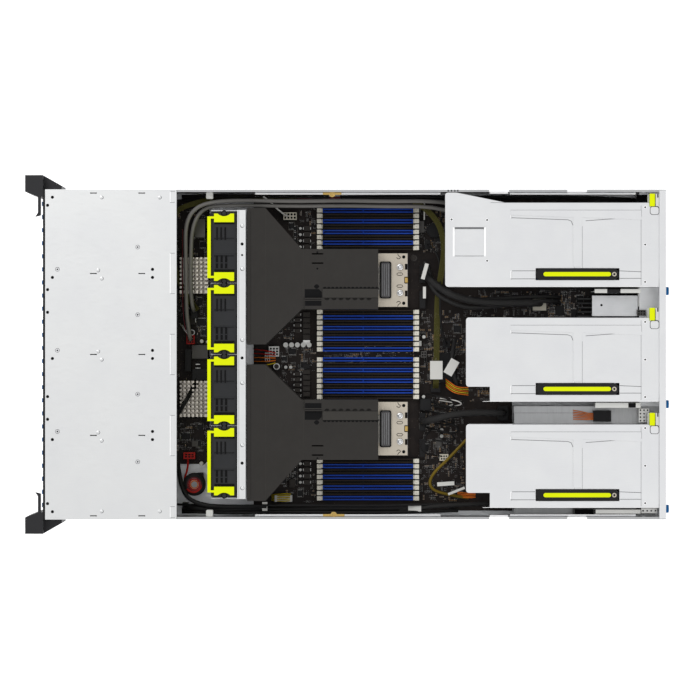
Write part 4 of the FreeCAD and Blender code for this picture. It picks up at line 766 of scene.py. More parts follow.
class PartKit(Shaper):
    """Small electronic parts that stand on a board."""

    def __init__(self, name: str, top: float = BOARD) -> None:
        """Starts an empty piece whose parts stand at a height."""
        super().__init__(name)
        self.top = top

    def stand(self, middle: Point, size: Point, height: float, finish: Finish, edge: float = 0.2,
              corner: float = 0.0) -> None:
        """A block that stands on the board."""
        self.block(middle, size, (self.top, self.top + height), finish, edge, corner)

    def outline(self, middle: Point, size: Point) -> None:
        """A printed line round a part."""
        (x, y), (width, length) = middle, size
        corners = rectangle((x - width / 2, x + width / 2), (y - length / 2, y + length / 2))
        self.path([*corners, corners[0]], 0.3, (self.top - 0.02, self.top + 0.03), PRINT_WHITE)

    def chip(self, middle: Point, size: Point, height: float = 1.3, finish: Finish | None = None) -> None:
        """A flat chip with tinned legs along two sides and a printed outline."""
        (x, y), (width, length) = middle, size
        for side in SIDES:
            for row in range(int(length / LEG_PITCH)):
                self.stand((x + side * width / 2, y - length / 2 + 0.75 + row * LEG_PITCH), (1.4, 0.6),
                           0.4, TIN, 0.05)
        self.stand(middle, size, height, finish or BLACK_PART)
        self.outline(middle, (width + 3.2, length + 1.4))

    def chips(self, *rows: tuple[float, float, float, float]) -> None:
        """Flat chips, each given by its place across, depth, width and length."""
        for x, depth, width, length in rows:
            self.chip((x, depth), (width, length))

    def coil(self, middle: Point, size: Point, height: float = 5.0) -> None:
        """A moulded coil with cut corners on two tinned feet."""
        (x, y), (width, length) = middle, size
        self.stand(middle, size, height, COIL_GREY, 0.5, 0.9)
        for side in SIDES:
            self.stand((x, y + side * (length / 2 + 0.4)), (width * 0.5, 1.0), 0.8, TIN, 0.1)

    def can(self, middle: Point, radius: float, height: float, cap: Finish | None = None) -> None:
        """A round capacitor: a dark foot and a can with a lighter rim."""
        x, y = middle
        self.stand(middle, (2.2 * radius, 2.2 * radius), 0.9, BLACK_PART, 0.1, radius * 0.4)
        self.turned((x, y, self.top), [(radius, 0.8), (radius * 0.94, 1.6), (radius, 2.4),
                                       (radius, height - 0.4), (radius * 0.9, height)], cap or TIN)
        self.turned((x, y, self.top + height), [(radius * 0.72, -0.1), (radius * 0.72, 0.06)],
                    WHITE_PART if cap else COIL_GREY)

    def cells(self, middle: Point, pitch: Point, counts: tuple[int, int], z: float) -> None:
        """Dark square holes in the top of a plug, as marks of painted shade."""
        for column in range(counts[0]):
            for row in range(counts[1]):
                x = middle[0] + (column - (counts[0] - 1) / 2) * pitch[0]
                y = middle[1] + (row - (counts[1] - 1) / 2) * pitch[1]
                self.block((x, y), (pitch[0] * 0.66, pitch[1] * 0.66), (z - 0.1, z + 0.04), PAINTED_SHADE, 0.01)

    def ring_screw(self, middle: Place, radius: float) -> None:
        """A washer-head screw with a dark six-sided hole of painted shade."""
        self.turned(middle, [(radius, 0), (radius, 0.5), (radius * 0.9, 0.8), (radius * 0.72, 0.8),
                             (radius * 0.66, 1.6), (radius * 0.4, 1.9)], SCREW_METAL)
        self.turned((middle[0], middle[1], middle[2] + 1.8), [(radius * 0.36, 0), (radius * 0.36, 0.14)],
                    PAINTED_SHADE, sides=6)

    def litters(self, seed: int, share: float, *stretches: tuple[float, float, float, float]) -> None:
        """Small parts over stretches of board, each given by its two sides and two ends."""
        for number, (left, right, front, back) in enumerate(stretches):
            self.litter((left, right), (front, back), seed + number, share)

    def litter(self, x: Point, y: Point, seed: int, share: float = 1.0) -> None:
        """Short rows of tiny two-ended parts over a stretch of board.

        Args:
            x: The stretch's two sides.
            y: Its two ends.
            seed: Seed of the arrangement.
            share: How densely it is filled.
        """
        spread = random.Random(seed)
        for _ in range(max(2, int((x[1] - x[0]) * (y[1] - y[0]) * share / ROW_AREA))):
            place = Vector((spread.uniform(*x), spread.uniform(*y)))
            upright = spread.random() < 0.5
            length, width, height = spread.choice(((1.7, 0.9, 0.6), (2.2, 1.3, 0.8), (1.3, 0.7, 0.5)))
            finish = spread.choice((TAN_PART, BLACK_PART, BLACK_PART, COIL_GREY))
            for _ in range(spread.randint(1, 5)):
                if x[0] < place.x < x[1] and y[0] < place.y < y[1]:
                    size = (width, length) if upright else (length, width)
                    ends = (0.0, length / 2) if upright else (length / 2, 0.0)
                    self.stand(tuple(place), size, height, finish, 0.08)
                    for side in SIDES:
                        self.stand((place.x + side * ends[0], place.y + side * ends[1]),
                                   (0.9, 0.45) if upright else (0.45, 0.9), height * 0.9, TIN, 0.05)
                place += Vector((width + 0.9, 0.0) if upright else (0.0, width + 0.9))


def side_by_side(route: Sequence[Place], count: int, pitch: float) -> list[list[Place]]:
    """Lays copies of a wire's route beside each other, as in a ribbon.

    Args:
        route: Places along the middle of the ribbon.
        count: How many wires it has.
        pitch: The distance between wires.

    Returns:
        One route for each wire.
    """
    result = []
    for number in range(count):
        shift = (number - (count - 1) / 2) * pitch
        line = []
        for spot, (x, y, z) in enumerate(route):
            before, after = route[max(0, spot - 1)], route[min(len(route) - 1, spot + 1)]
            along = Vector((after[0] - before[0], after[1] - before[1]))
            across = along.orthogonal().normalized() if along.length > 0.5 else Vector((1.0, 0.0))
            line.append((x + across.x * shift, y + across.y * shift, z))
        result.append(line)
    return result


@dataclass
class Frame:
    """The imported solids, which take finishes but keep their shapes."""

    nodes: dict[str, bpy.types.Object]

    def dress(self, node: str, finish: Finish, *rules: tuple[Finish, Rule]) -> None:
        """Gives a solid its finish, and other finishes to the faces that a rule picks.

        Args:
            node: The node's name.
            finish: The finish of most of it.
            *rules: A finish and a test of a face's middle, as x, depth and height in mm.
        """
        mesh = self.nodes[node].data
        mesh.materials.clear()
        for each in (finish, *(rule[0] for rule in rules)):
            mesh.materials.append(each.material())
        picks = []
        for polygon in mesh.polygons:
            spot = polygon.center / MM + Vector((0, MIDDLE, 0))
            pick = 0
            for number, (_, test) in enumerate(rules, 1):
                if test(spot):
                    pick = number
            picks.append(pick)
        mesh.polygons.foreach_set("material_index", picks)
        mesh.update()


@dataclass
class Assembly:
    """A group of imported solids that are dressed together, with the fine pieces on them."""

    frame: Frame

    def dress(self, node: str, finish: Finish, *rules: tuple[Finish, Rule]) -> None:
        """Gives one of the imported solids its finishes."""
        self.frame.dress(node, finish, *rules)


# Front of the chassis --------------------------------------------------------------------------

@dataclass
class DriveBays(Assembly):
    """The drive carriers, their cage, the lid over them and the rack ears."""

    bays: int = 24
    pitch: float = 17.65
    lid_low: float = 86.82
    station: float = 109.0
    pair: float = 5.45
    side: float = 217.0
    screws: tuple[Point, ...] = ((-114.45, 19.5), (-5.45, 19.5), (103.55, 19.5), (-53.4, 127.5),
                                 (53.4, 127.5), (-144.4, 127.5), (144.4, 127.5))

    def build(self) -> None:
        """Dresses the front and adds its fine pieces."""
        self.dress("drive_bay_cover", COVER_SHEET)
        self.dress("drive_cage", ZINC_SHEET, (CARRIER_MOULDING, lambda spot: spot.y < 3.05))
        self.dress("rack_ears", EAR_MOULDING)
        self.dress("power_button", GREY_BUTTON)
        self.carriers()
        self.lid()
        self.ears()

    def carriers(self) -> None:
        """Blue tabs, black bezels, drives in bare metal, and two light pipes on each carrier."""
        for number in range(1, self.bays + 1):
            node = f"drive_carrier_{number:02d}"
            middle = self.pitch * (number - (self.bays + 1) / 2)
            # The drives behind the bezels take the darker shadowed supply sheet, painted shade under the
            # lid.
            self.dress(node, CARRIER_MOULDING, (BLUE_MOULDING, lambda spot: spot.y < -0.01),
                       (SHADOWED_SUPPLY_SHEET, lambda spot: spot.y > 50.5))
            lights = Shaper(f"carrier_lights_{number:02d}", node)
            for shift in (-4.5, 4.5):
                lights.drum((middle + shift, -0.02, 76.5), 0.9, 0.3, WHITE_PART, 0.1, Axis.Y, 12)
            for row in range(5):
                lights.block((middle, -2.45), (4.2, 0.3), (66 + row * 2.2, 67 + row * 2.2), BLUE_MOULDING,
                             0.1)
            lights.done()

    def lid(self) -> None:
        """Dark holes and slots, screw recesses, half-sheared bosses and pressed lines on the lid, shown by
        painted light: painted shade in the holes, slots and screw rings, a painted shadow crescent by each
        boss, and painted highlight and shade strips along the pressed lines.
        """
        fine = Shaper("lid_details")
        holes = [(at + side * self.pair, depth) for at in (-self.station, 0.0, self.station)
                 for side, depth in ((1, 147.4), (-1, 147.4), (1, 12.8))]
        holes += [(side * self.station * share, 6.3) for side in SIDES for share in (0.52, 0.8, 1.84)]
        holes += [(side * self.station * 1.94, 12.8) for side in SIDES]
        for x, depth in holes:
            fine.disc((x, depth, self.lid_low), 2.05, 0.06)
        # Painted shade ring round each screw head, and its six-sided hole as a dark painted-shade mark.
        for x, depth in self.screws:
            fine.disc((x, depth, TOP - 0.02), 2.9, 0.03, PAINTED_PRESS_SHADE)
            fine.disc((x, depth, TOP - 0.01), 2.35, 0.04, SCREW_METAL)
            fine.disc((x, depth, TOP + 0.01), 1.2, 0.04, sides=6)
        for across in [number * (self.station - 0.2) for number in (-1, 0, 1)] + [-self.side, self.side]:
            for depth in (68, 133):
                fine.mark((across, depth), (1.2, 8.8), (self.lid_low, self.lid_low + 0.06))
                for end in SIDES:
                    fine.mark((across, depth + end * 3.6), (1.5, 1.8), (TOP - 0.03, TOP + 0.02))
        bosses = [(at + shift, depth) for at in (-self.station, 0.0, self.station)
                  for shift, depth in ((-4, 74.5), (7, 79.2))]
        bosses += [(side * 211, depth) for side in SIDES for depth in (79.2, 157.3)]
        # Painted shadow: a dark disc under each boss, offset so a crescent shows.
        for x, depth in bosses:
            fine.disc((x, depth, TOP - 0.01), 2.5, 0.03, PAINTED_PRESS_SHADE)
            fine.turned((x - 0.35, depth - 0.5, TOP), [(2.2, 0), (2.2, 0.1), (1.9, 0.3)], COVER_SHEET)
        edges = [(at - 27.2, at + 27.2) for at in (-self.station, 0.0, self.station)]
        edges += [(-219.5, -204.5), (204.5, 219.5)]
        # Painted highlight along each pressed edge, painted shade at its ends, and a painted shade line
        # along the lid's rear edge.
        for low, high in edges:
            fine.strip((low, 171.2), (high, 171.2), 0.9, (TOP - 0.3, TOP + 0.02), PAINTED_PRESS_HIGHLIGHT)
            for x in (low, high):
                fine.strip((x, 171), (x, 177.5), 0.5, (TOP - 0.3, TOP + 0.02), PAINTED_PRESS_SHADE)
        fine.strip((-221.5, 179.8), (221.5, 179.8), 0.35, (TOP - 0.3, TOP + 0.01), PAINTED_PRESS_SHADE)
        fine.done()

    def ears(self) -> None:
        """Two bright screw heads on each ear's wing."""
        fine = Shaper("ear_screws")
        for side in SIDES:
            for depth in (3.5, 15.0):
                fine.turned((side * 227.7, depth, 44), [(0.01, 0), (1.9, 0.02), (1.7, 0.5), (0.6, 0.8)],
                            SCREW_METAL, Axis.X)
        fine.done()


# Behind the drives -----------------------------------------------------------------------------

@dataclass
class Expander(Assembly):
    """The backplane and the expander board behind it."""

    top: float = 15.6

    def build(self) -> None:
        """Dresses the boards and adds capacitors, plugs, chips and small parts."""
        self.dress("drive_backplane", BOARD_MASK,
                   (FIN_METAL, lambda spot: spot.y > 181 and spot.z > 15.7
                    and (-132.5 < spot.x < -82.5 or 35.5 < spot.x < 85.5)),
                   (BLACK_PART, lambda spot: spot.y < 155.9 or (spot.z > 15.7 and spot.y > 183
                                                                and -72 < spot.x < 24)),
                   (PLUG_GREY, lambda spot: -185 < spot.x < -158 and spot.z > 15.7),
                   (RED_PART, lambda spot: (-27 < spot.x < -13 or 133 < spot.x < 143)
                    and spot.z > 15.7 and spot.y > 170),
                   (BLACK_PART, lambda spot: spot.x > 160 and spot.y > 170 and spot.z < 24.1))
        fine = PartKit("expander_parts", self.top)
        for x, depth in ((-18, 210.6), (148.8, 210), (-17, 219), (149.5, 218.4)):
            fine.can((x, depth), 2.6, 9, CREAM_PART)
        fine.chips((-72, 208, 11, 7), (-2, 214, 9, 7), (101, 208, 11, 7), (122, 206, 9, 7),
                   (-44, 210, 10, 12), (-30, 213, 7, 7), (112, 188, 9, 12), (-150, 212, 8, 8))
        fine.coil((-47, 197), (13, 9), 4.5)
        fine.can((-30, 197), 4.2, 6)
        fine.stand((-3.4, 208), (18.8, 22), 8, PLUG_GREY, 0.6)
        fine.stand((27.5, 208), (16, 21), 14, BLACK_PART, 0.5)
        fine.stand((122, 201), (8, 9), 4, PLUG_GREY, 0.4)
        for number in range(5):
            fine.stand((11 + number * 2.6, 205), (1.3, 7 - number % 3), 2.2, TIN if number % 2
                       else BLACK_PART)
        fine.cells((-20, 195.5), (3.4, 3.2), (3, 3), 29.6)
        fine.cells((138, 194), (3.0, 4.4), (2, 3), 31.6)
        fine.litters(20, 1.0, (-80, -52, 172, 219), (-52, -24, 200, 219), (-160, -134, 172, 219),
                     (24, 34, 172, 190), (88, 132, 172, 219), (-208, -186, 172, 219))
        fine.done()


# Fans and ducts --------------------------------------------------------------------------------

@dataclass
class FanRow(Assembly):
    """The lift-out fans and the carrier that holds them."""

    centres: tuple[float, ...] = (-144.3, -48.1, 48.1, 144.3)
    roof: float = 82.7
    bar_top: float = 86.0
    middle: float = 244.0
    rivets: tuple[float, ...] = (-173, -115, -19.5, 38.4, 121.9, 179.8)
    holes: tuple[tuple[float, float], ...] = ((-148.6, 2.1), (-133.7, 1.4), (4.7, 2.1), (146.2, 2.1))

    def build(self) -> None:
        """Dresses each fan and the bar over them."""
        self.dress("fan_cage", ZINC_SHEET, (COVER_SHEET, lambda spot: spot.z > 85.9))
        for number, x in enumerate(self.centres, 1):
            module = f"fan_module_{number}"
            self.dress(module, FAN_MOULDING,
                       (LIME_MOULDING, lambda spot: spot.z > self.roof + 0.05 or spot.y < 225.5))
            self.dress(f"fan_rotor_{number}", ROTOR_MOULDING)
            self.roof_details(module, x)
        bar = Shaper("fan_bar_rivets")
        # Painted shadow: a dark ring under each rivet head, offset so a crescent shows; the holes are dark
        # painted-shade discs.
        for x in self.rivets:
            bar.turned((x, 268, self.bar_top), [(2.7, -0.02), (2.7, 0.02)], PAINTED_PRESS_SHADE)
            bar.turned((x - 0.3, 268.2, self.bar_top), [(2.2, 0), (2.1, 0.35), (1.3, 0.7), (0.3, 0.8)],
                       COVER_SHEET)
        for x, radius in self.holes:
            bar.drum((x, 267.8, self.bar_top - 0.02), radius, 0.05, PAINTED_SHADE, 0.01)
        # Painted shade lines along the bar's two edges.
        for depth in (263.4, 272.6):
            bar.strip((-194, depth), (194, depth), 0.5, (self.bar_top - 0.05, self.bar_top + 0.02),
                      PAINTED_PRESS_SHADE)
        bar.done()

    def roof_details(self, module: str, x: float) -> None:
        """Cooling slots with rims, stepped shoulders, side clips and the finger wells of one fan; the
        slots, the gaps by the clips, a band behind the rear rib and a ring round each well are dark marks
        of painted shade.
        """
        fine = Shaper(f"{module}_details", module)
        roof = (self.roof - 0.05, self.roof + 0.04)
        for low, high, rows in ((-27, -10, (234, 239.5, 245)), (11.6, 20.4, (233.8, 240.2, 246.2)),
                                (21.6, 28.4, (233.8, 240.2, 246.2))):
            for depth in rows:
                width = 2.0 if low < 0 else 3.0
                fine.mark((x + (low + high) / 2, depth), (high - low, width), roof)
                for side in SIDES:
                    fine.block((x + (low + high) / 2, depth + side * (width / 2 + 0.25)),
                               (high - low + 1, 0.5), (self.roof - 0.05, self.roof + 0.35), FAN_MOULDING,
                               0.1)
        fine.mark((x + 32, self.middle), (4.6, 27), roof)
        fine.mark((x - 32.2, self.middle), (2.4, 27), roof)
        fine.block((x, self.middle), (18, 31), (self.roof - 0.05, self.roof + 0.4), FAN_MOULDING, 0.3, 1.2)
        for depth in (227.4, 259.6):
            fine.block((x, depth), (88, 1.4), (self.roof - 0.05, self.roof + 0.9), FAN_MOULDING, 0.3)
        fine.mark((x, 261.2), (92, 0.8), (60, self.roof + 0.02))
        for side in SIDES:
            fine.disc((x + side * 45.6, 243.6, self.roof - 0.05), 4.2, 0.1)
            fine.turned((x + side * 45.6, 243.6, self.roof), [(2.9, 0), (2.6, 0.5), (1.2, 0.8)],
                        FAN_MOULDING)
        fine.done()


@dataclass
class AirDucts(Assembly):
    """The moulded ducts over the processors."""

    top: float = 82.0
    strip_top: float = 84.6

    def build(self) -> None:
        """Dresses both ducts and adds their seams as painted highlight lines, slots as dark painted-shade
        dots, and the stepped neck.
        """
        for side, word, marks in ((-1, "left", (-137.7, -115.6)), (1, "right", (139.8,))):
            node = f"air_duct_{word}"
            self.dress(node, DUCT_MOULDING)
            fine = Shaper(f"{node}_details", node)
            face = (self.top - 0.05, self.top + 0.03)
            # Slots as dark painted-shade dots.
            for x in marks:
                fine.disc((x, 369, self.top), 1.3, 0.04)
            # Seams as painted highlight lines.
            for depth, reach in ((299.5, (16, 195)), (350, (62, 141))):
                fine.strip((side * reach[0], depth), (side * reach[1], depth), 0.5, face, DUCT_PAINTED_HIGHLIGHT)
            self.neck(fine, side)
            fine.done()

    def neck(self, fine: Shaper, side: int) -> None:
        """The hollow and the scalloped strip along a duct's inner edge: painted shade in the hollow and
        dark patches, painted highlight on the strip's top and ridge, and painted shadow along and under its
        scalloped edge.
        """
        well = [(side * 76.5, 352), (side * 88, 352), (side * 88, 371), (side * 84, 375),
                (side * 76.5, 375)]
        fine.prism(well if side > 0 else well[::-1], (self.top - 0.05, self.top + 0.04), PAINTED_SHADE, 0.0)
        fine.mark((side * 70, 363.5), (9, 22), (self.strip_top - 0.05, self.strip_top + 0.04))
        fine.block((side * 73, 363.5), (1.2, 24), (self.strip_top - 0.05, self.strip_top + 0.5), DUCT_PAINTED_HIGHLIGHT,
                   0.2)
        # Painted shade in a dark patch beside the neck, and painted highlight on the raised strip's top.
        fine.mark((side * 91.5, 368), (6, 7), (self.top - 0.05, self.top + 0.04), 2.4)
        fine.block((side * 82, 413.5), (13, 75), (self.top - 0.05, self.top + 2.2), DUCT_PAINTED_HIGHLIGHT, 0.5)
        # A painted shadow line along the raised strip, and painted shadow discs under its scalloped edge.
        fine.strip((side * 76, 377), (side * 76, 450.5), 0.5, (self.strip_top - 0.1, self.strip_top + 0.04),
                   PAINTED_SHADE)
        for number in range(14):
            fine.disc((side * 88.6, 379 + number * 5.4, self.top), 2.5)


# Main board ------------------------------------------------------------------------------------

@dataclass
class Processors(Assembly):
    """The two processor heat sinks."""

    reach: float = 101.5
    plate_top: float = 19.0
    clip_top: float = 28.0
    screw_depth: float = 481.4
    block_depth: float = 461.5

    def build(self) -> None:
        """Dresses the heat sinks and adds screws, holes, hooks and the ribbed block of each, with painted
        shade in the holes, slots, hooks and screw rings, a painted shade line across the plate and a
        painted shadow round each block.
        """
        self.dress("cpu_heatsinks", NICKEL,
                   (FIN_METAL, lambda spot: spot.y < 450 and spot.z > 19.5),
                   (GREY_BLOCK, lambda spot: spot.y > 453 and spot.z > 19.2))
        for side, word in ((-1, "left"), (1, "right")):
            fine = PartKit(f"heatsink_details_{word}", self.plate_top)
            x = side * self.reach
            face = (self.plate_top - 0.02, self.plate_top + 0.05)
            for shift in (-17.6, 17.6):
                fine.drum((x + shift, self.screw_depth, self.plate_top), 4.1, 4.9, NICKEL, 0.3)
                # Painted shade rings round the screw heads.
                fine.disc((x + shift, self.screw_depth, 23.9), 4.3, 0.04)
                fine.turned((x + shift, self.screw_depth, 23.94), [(3.9, 0), (3.9, 1.0), (3.4, 1.3)],
                            SCREW_METAL)
                fine.disc((x + shift, self.screw_depth, 25.2), 2.7, 0.08)
                fine.turned((x + shift, self.screw_depth, 25.24), [(2.2, 0), (2.2, 0.3), (1.8, 0.4)],
                            SCREW_METAL)
            for shift in (-8.2, 8.2):
                fine.mark((x + shift, 481), (4.2, 9), face, 1.8)
                fine.block((x + shift, 481), (2.6, 7.4), (face[0], face[1] + 0.03), NICKEL, 0.0, 1.2)
            for turn in SIDES:
                fine.disc((x + turn * 31.6, 486.4, self.plate_top), 2.3)
                hook = [(x + turn * reach, depth) for reach, depth in
                        ((36, 478), (33, 479.5), (31.6, 482), (29.4, 481), (29, 478.4), (31, 476.6))]
                fine.path(hook, 0.9, face, PAINTED_SHADE)
            fine.mark((x, 489.6), (9.4, 5), face, 0.8)
            fine.block((x, 489.9), (6.6, 4), (face[0], face[1] + 0.03), BRASS_CLIP, 0.0)
            # A painted shade line across the plate, and a painted shadow round the ribbed block.
            fine.path([(x - 36, 491.7), (x + 36, 491.7)], 0.5, face, PAINTED_PRESS_SHADE)
            fine.mark((x, self.block_depth), (50.4, 15.6), (self.clip_top - 0.3, self.clip_top + 0.02), 2)
            fine.block((x, self.block_depth), (47.6, 12.8), (self.clip_top - 0.2, self.clip_top + 0.3),
                       GREY_BLOCK, 0.3, 1.8)
            for row in range(4):
                fine.block((x, 457.6 + row * 2.6), (43, 0.8), (self.clip_top, self.clip_top + 0.5),
                           CLIP_RIB, 0.1)
            fine.block((x, 452.6), (38, 1.6), (24, 24.6), WHITE_PART, 0.1)
            fine.done()


@dataclass
class MemoryBanks(Assembly):
    """Four banks of eight memory slots."""

    centres: tuple[float, ...] = (-171.0, -32.4, 32.4, 171.0)
    pitch: float = 7.3
    slots: int = 8
    top: float = 17.4
    latch_top: float = 25.8
    middle: float = 437.5
    latches: Point = (371.7, 503.3)
    blue_first: tuple[bool, ...] = (True, False, True, False)

    def is_blue(self, x: float) -> bool:
        """Tells whether the slot at a place across is blue."""
        bank = min(range(4), key=lambda number: abs(self.centres[number] - x))
        number = round((x - self.centres[bank]) / self.pitch + (self.slots - 1) / 2)
        return (number % 2 == 0) == self.blue_first[bank]

    def build(self) -> None:
        """Dresses the slots and adds their contact rows, darkened as painted shade, keys, latch pads,
        painted light along each slot's top edges and painted shade in the gaps at the latches.
        """
        self.dress("memory_slots", SLOT_BLACK,
                   (SLOT_BLUE, lambda spot: self.is_blue(spot.x)),
                   (LATCH_CREAM, lambda spot: spot.z > 17.6 or spot.y < 375.4 or spot.y > 499.6))
        fine = Shaper("memory_details")
        for middle in self.centres:
            for number in range(self.slots):
                x = middle + (number - (self.slots - 1) / 2) * self.pitch
                blue = self.is_blue(x)
                # Painted light along each slot's top edges: a highlight on blue slots, a brownish
                # reflection on black ones.
                ridge_painted_light = PAINTED_SLOT_BLUE_HIGHLIGHT if blue else PAINTED_SLOT_SHEEN_AND_SHADE
                fine.block((x, self.middle), (1.7, 121), (12.6, 12.8), CONTACT_SHADOW, 0.02)
                fine.block((x, self.middle), (0.5, 119.6), (12.8, 16.6), CONTACT_SHADOW, 0.02)
                for side in SIDES:
                    fine.block((x + side * 2.2, self.middle), (0.7, 123),
                               (self.top - 0.1, self.top + 0.18), ridge_painted_light, 0.08)
                    for row in range(30):
                        fine.block((x + side * 0.8, 380 + row * 3.96), (0.3, 1.4), (14, 16), PAINTED_SLOT_SHEEN_AND_SHADE,
                                   0.02)
                fine.block((x, 431), (1.7, 1.6), (12.6, self.top), SLOT_BLUE if blue else SLOT_BLACK, 0.05)
                for depth in self.latches:
                    fine.block((x, depth), (4.4, 4.4), (self.latch_top - 0.1, self.latch_top + 0.15),
                               LATCH_CREAM, 0.1, 0.4)
                    fine.block((x, depth), (1.6, 0.7), (self.latch_top, self.latch_top + 0.2),
                               LATCH_SHADE, 0)
                    # Painted shade in the gap beside each slot at the latches.
                    fine.strip((x - self.pitch / 2, depth - 4), (x - self.pitch / 2, depth + 4), 1.2,
                               (8.9, 20), PAINTED_SHADE)
        fine.done()


@dataclass
class MainBoard(Assembly):
    """The motherboard with its small parts."""

    def build(self) -> None:
        """Dresses the board and sets out its parts."""
        self.dress("motherboard", BOARD_MASK)
        self.dress("board_components", BLACK_PART,
                   (COIL_GREY, lambda spot: 340 < spot.y < 370 and abs(spot.x) > 20),
                   (WHITE_PART, lambda spot: spot.z > 17.5 and -18 < spot.x < -8 and spot.y < 362),
                   (TIN, lambda spot: 9 < spot.z < 17.5 and -18 < spot.x < -8 and spot.y < 362),
                   (CREAM_PART, lambda spot: (-196 < spot.x < -182 and 320 < spot.y < 341)
                    or (-81 < spot.x < -59 and 662 < spot.y < 682)),
                   (WHITE_PART, lambda spot: (-12 < spot.x < 4 and 300 < spot.y < 317)
                    or (192 < spot.x < 202 and 309 < spot.y < 335)),
                   (TIN, lambda spot: spot.y > 805 and spot.z > 8.9),
                   (SLOT_BLUE, lambda spot: 585 < spot.y < 750 and (-105 < spot.x < -95
                                                                    or -45 < spot.x < -36)))
        self.power_stages()
        self.rear_ground()

    def power_stages(self) -> None:
        """Coils, switches and capacitors in front of the memory."""
        fine = PartKit("board_power_stages")
        for side, first in ((-1, -172.5), (1, 149.5)):
            for number in range(4):
                x = first + number * 8.5
                fine.coil((x, 354), (7.2, 9), 5.5)
                fine.can((x, 345), 2.6, 4.2, BLACK_PART)
                fine.chip((x, 338.4), (5.2, 4.4), 1.0)
            fine.litter((side * 186 - 3, side * 186 + 3), (336, 366), 41 + side)
        for number in range(5):
            fine.coil((27 + number * 7.4, 341), (5.6, 8.4), 4.5)
            fine.coil((-62 + number * 7.4, 341), (5.6, 8.4), 4.5)
        fine.stand((176, 334), (12, 8.6), 6, COIL_GREY, 0.5, 1.2)
        fine.can((16.5, 312.5), 4.6, 9)
        for depth in (325, 331.8):
            fine.can((17.5, depth), 2.3, 7, WHITE_PART)
        fine.chips((6, 323, 6, 7), (14, 350, 8, 8), (-4, 334, 8, 9), (-36, 314, 12, 12), (40, 318, 9, 9),
                   (-52, 322, 8, 7), (54, 324, 7, 7), (-176, 333, 8, 7), (190, 345, 8, 7),
                   (172, 322, 9, 7))
        fine.cells((-189, 331), (4.4, 4.3), (2, 4), 20.8)
        fine.cells((-4, 309), (3.8, 4.2), (3, 3), 18.8)
        fine.stand((4, 300), (13, 7), 7, WHITE_PART, 0.3)
        fine.cells((4, 300), (3.6, 3.0), (3, 2), BOARD + 7)
        fine.litters(60, 1.3, (-11, 24, 318, 372), (-60, -20, 300, 336), (24, 62, 300, 336),
                     (-184, -144, 358, 366), (144, 186, 358, 366), (158, 190, 318, 336),
                     (186, 202, 346, 366), (-202, -180, 342, 366), (-13, 13, 372, 505))
        fine.done()

    def rear_ground(self) -> None:
        """Parts behind the memory and between the risers."""
        fine = PartKit("board_rear_parts")
        fine.ring_screw((-147.8, 520.3, BOARD), 3.6)
        for x, depth in ((-24, 514), (58, 513.6), (103.4, 538.4), (111.8, 538.4)):
            fine.can((x, depth), 2.4, 8, WHITE_PART)
        fine.turned((-132, 500.5, BOARD), [(4.6, 0), (4.6, 1.5), (3.4, 1.5), (3.2, 0.8)], COIL_GREY)
        fine.stand((-15, 509), (7, 3.6), 6, WHITE_PART, 0.3)
        fine.stand((0, 514), (9, 8), 8, PLUG_GREY, 0.4)
        fine.cells((0, 514), (3.6, 3.2), (2, 2), BOARD + 8)
        fine.stand((68.5, 516), (16, 15), 12, BLACK_PART, 0.5)
        fine.stand((46, 530), (12, 14), 11, BLACK_PART, 0.5)
        fine.chip((121, 534.5), (9.5, 7), 2.0, PLUG_GREY)
        fine.stand((141, 541.5), (9, 12), 9.5, CREAM_PART, 0.4)
        fine.cells((141, 541.5), (3.6, 3.2), (2, 3), BOARD + 9.5)
        fine.stand((-174.5, 510), (16, 9), 8, PLUG_GREY, 0.5)
        fine.chips((96, 513, 9, 9), (84, 540, 8, 8), (128, 516, 10, 9), (-158, 534, 8, 8),
                   (-170, 503, 6, 7), (-35, 560, 10, 10), (-60, 700, 14, 12), (-72, 695, 8, 8),
                   (-56, 720, 12, 8), (-76, 728, 9, 9), (30, 585, 12, 12))
        for number in range(5):
            fine.stand((-76 + number * 6, 740), (3.4, 34), 9, BLACK_PART, 0.3)
            fine.stand((-76 + number * 6, 740), (0.7, 31), 9.04, GREY_PART, 0.0)
        fine.litters(80, 1.5, (-205, -140, 508, 560), (-60, 40, 508, 575), (58, 200, 508, 569),
                     (-88, -52, 575, 740), (40, 64, 575, 640), (-205, -110, 560, 600))
        fine.litter((-86, -52), (684, 716), 86, 4.0)
        fine.done()


# Rear of the chassis ---------------------------------------------------------------------------

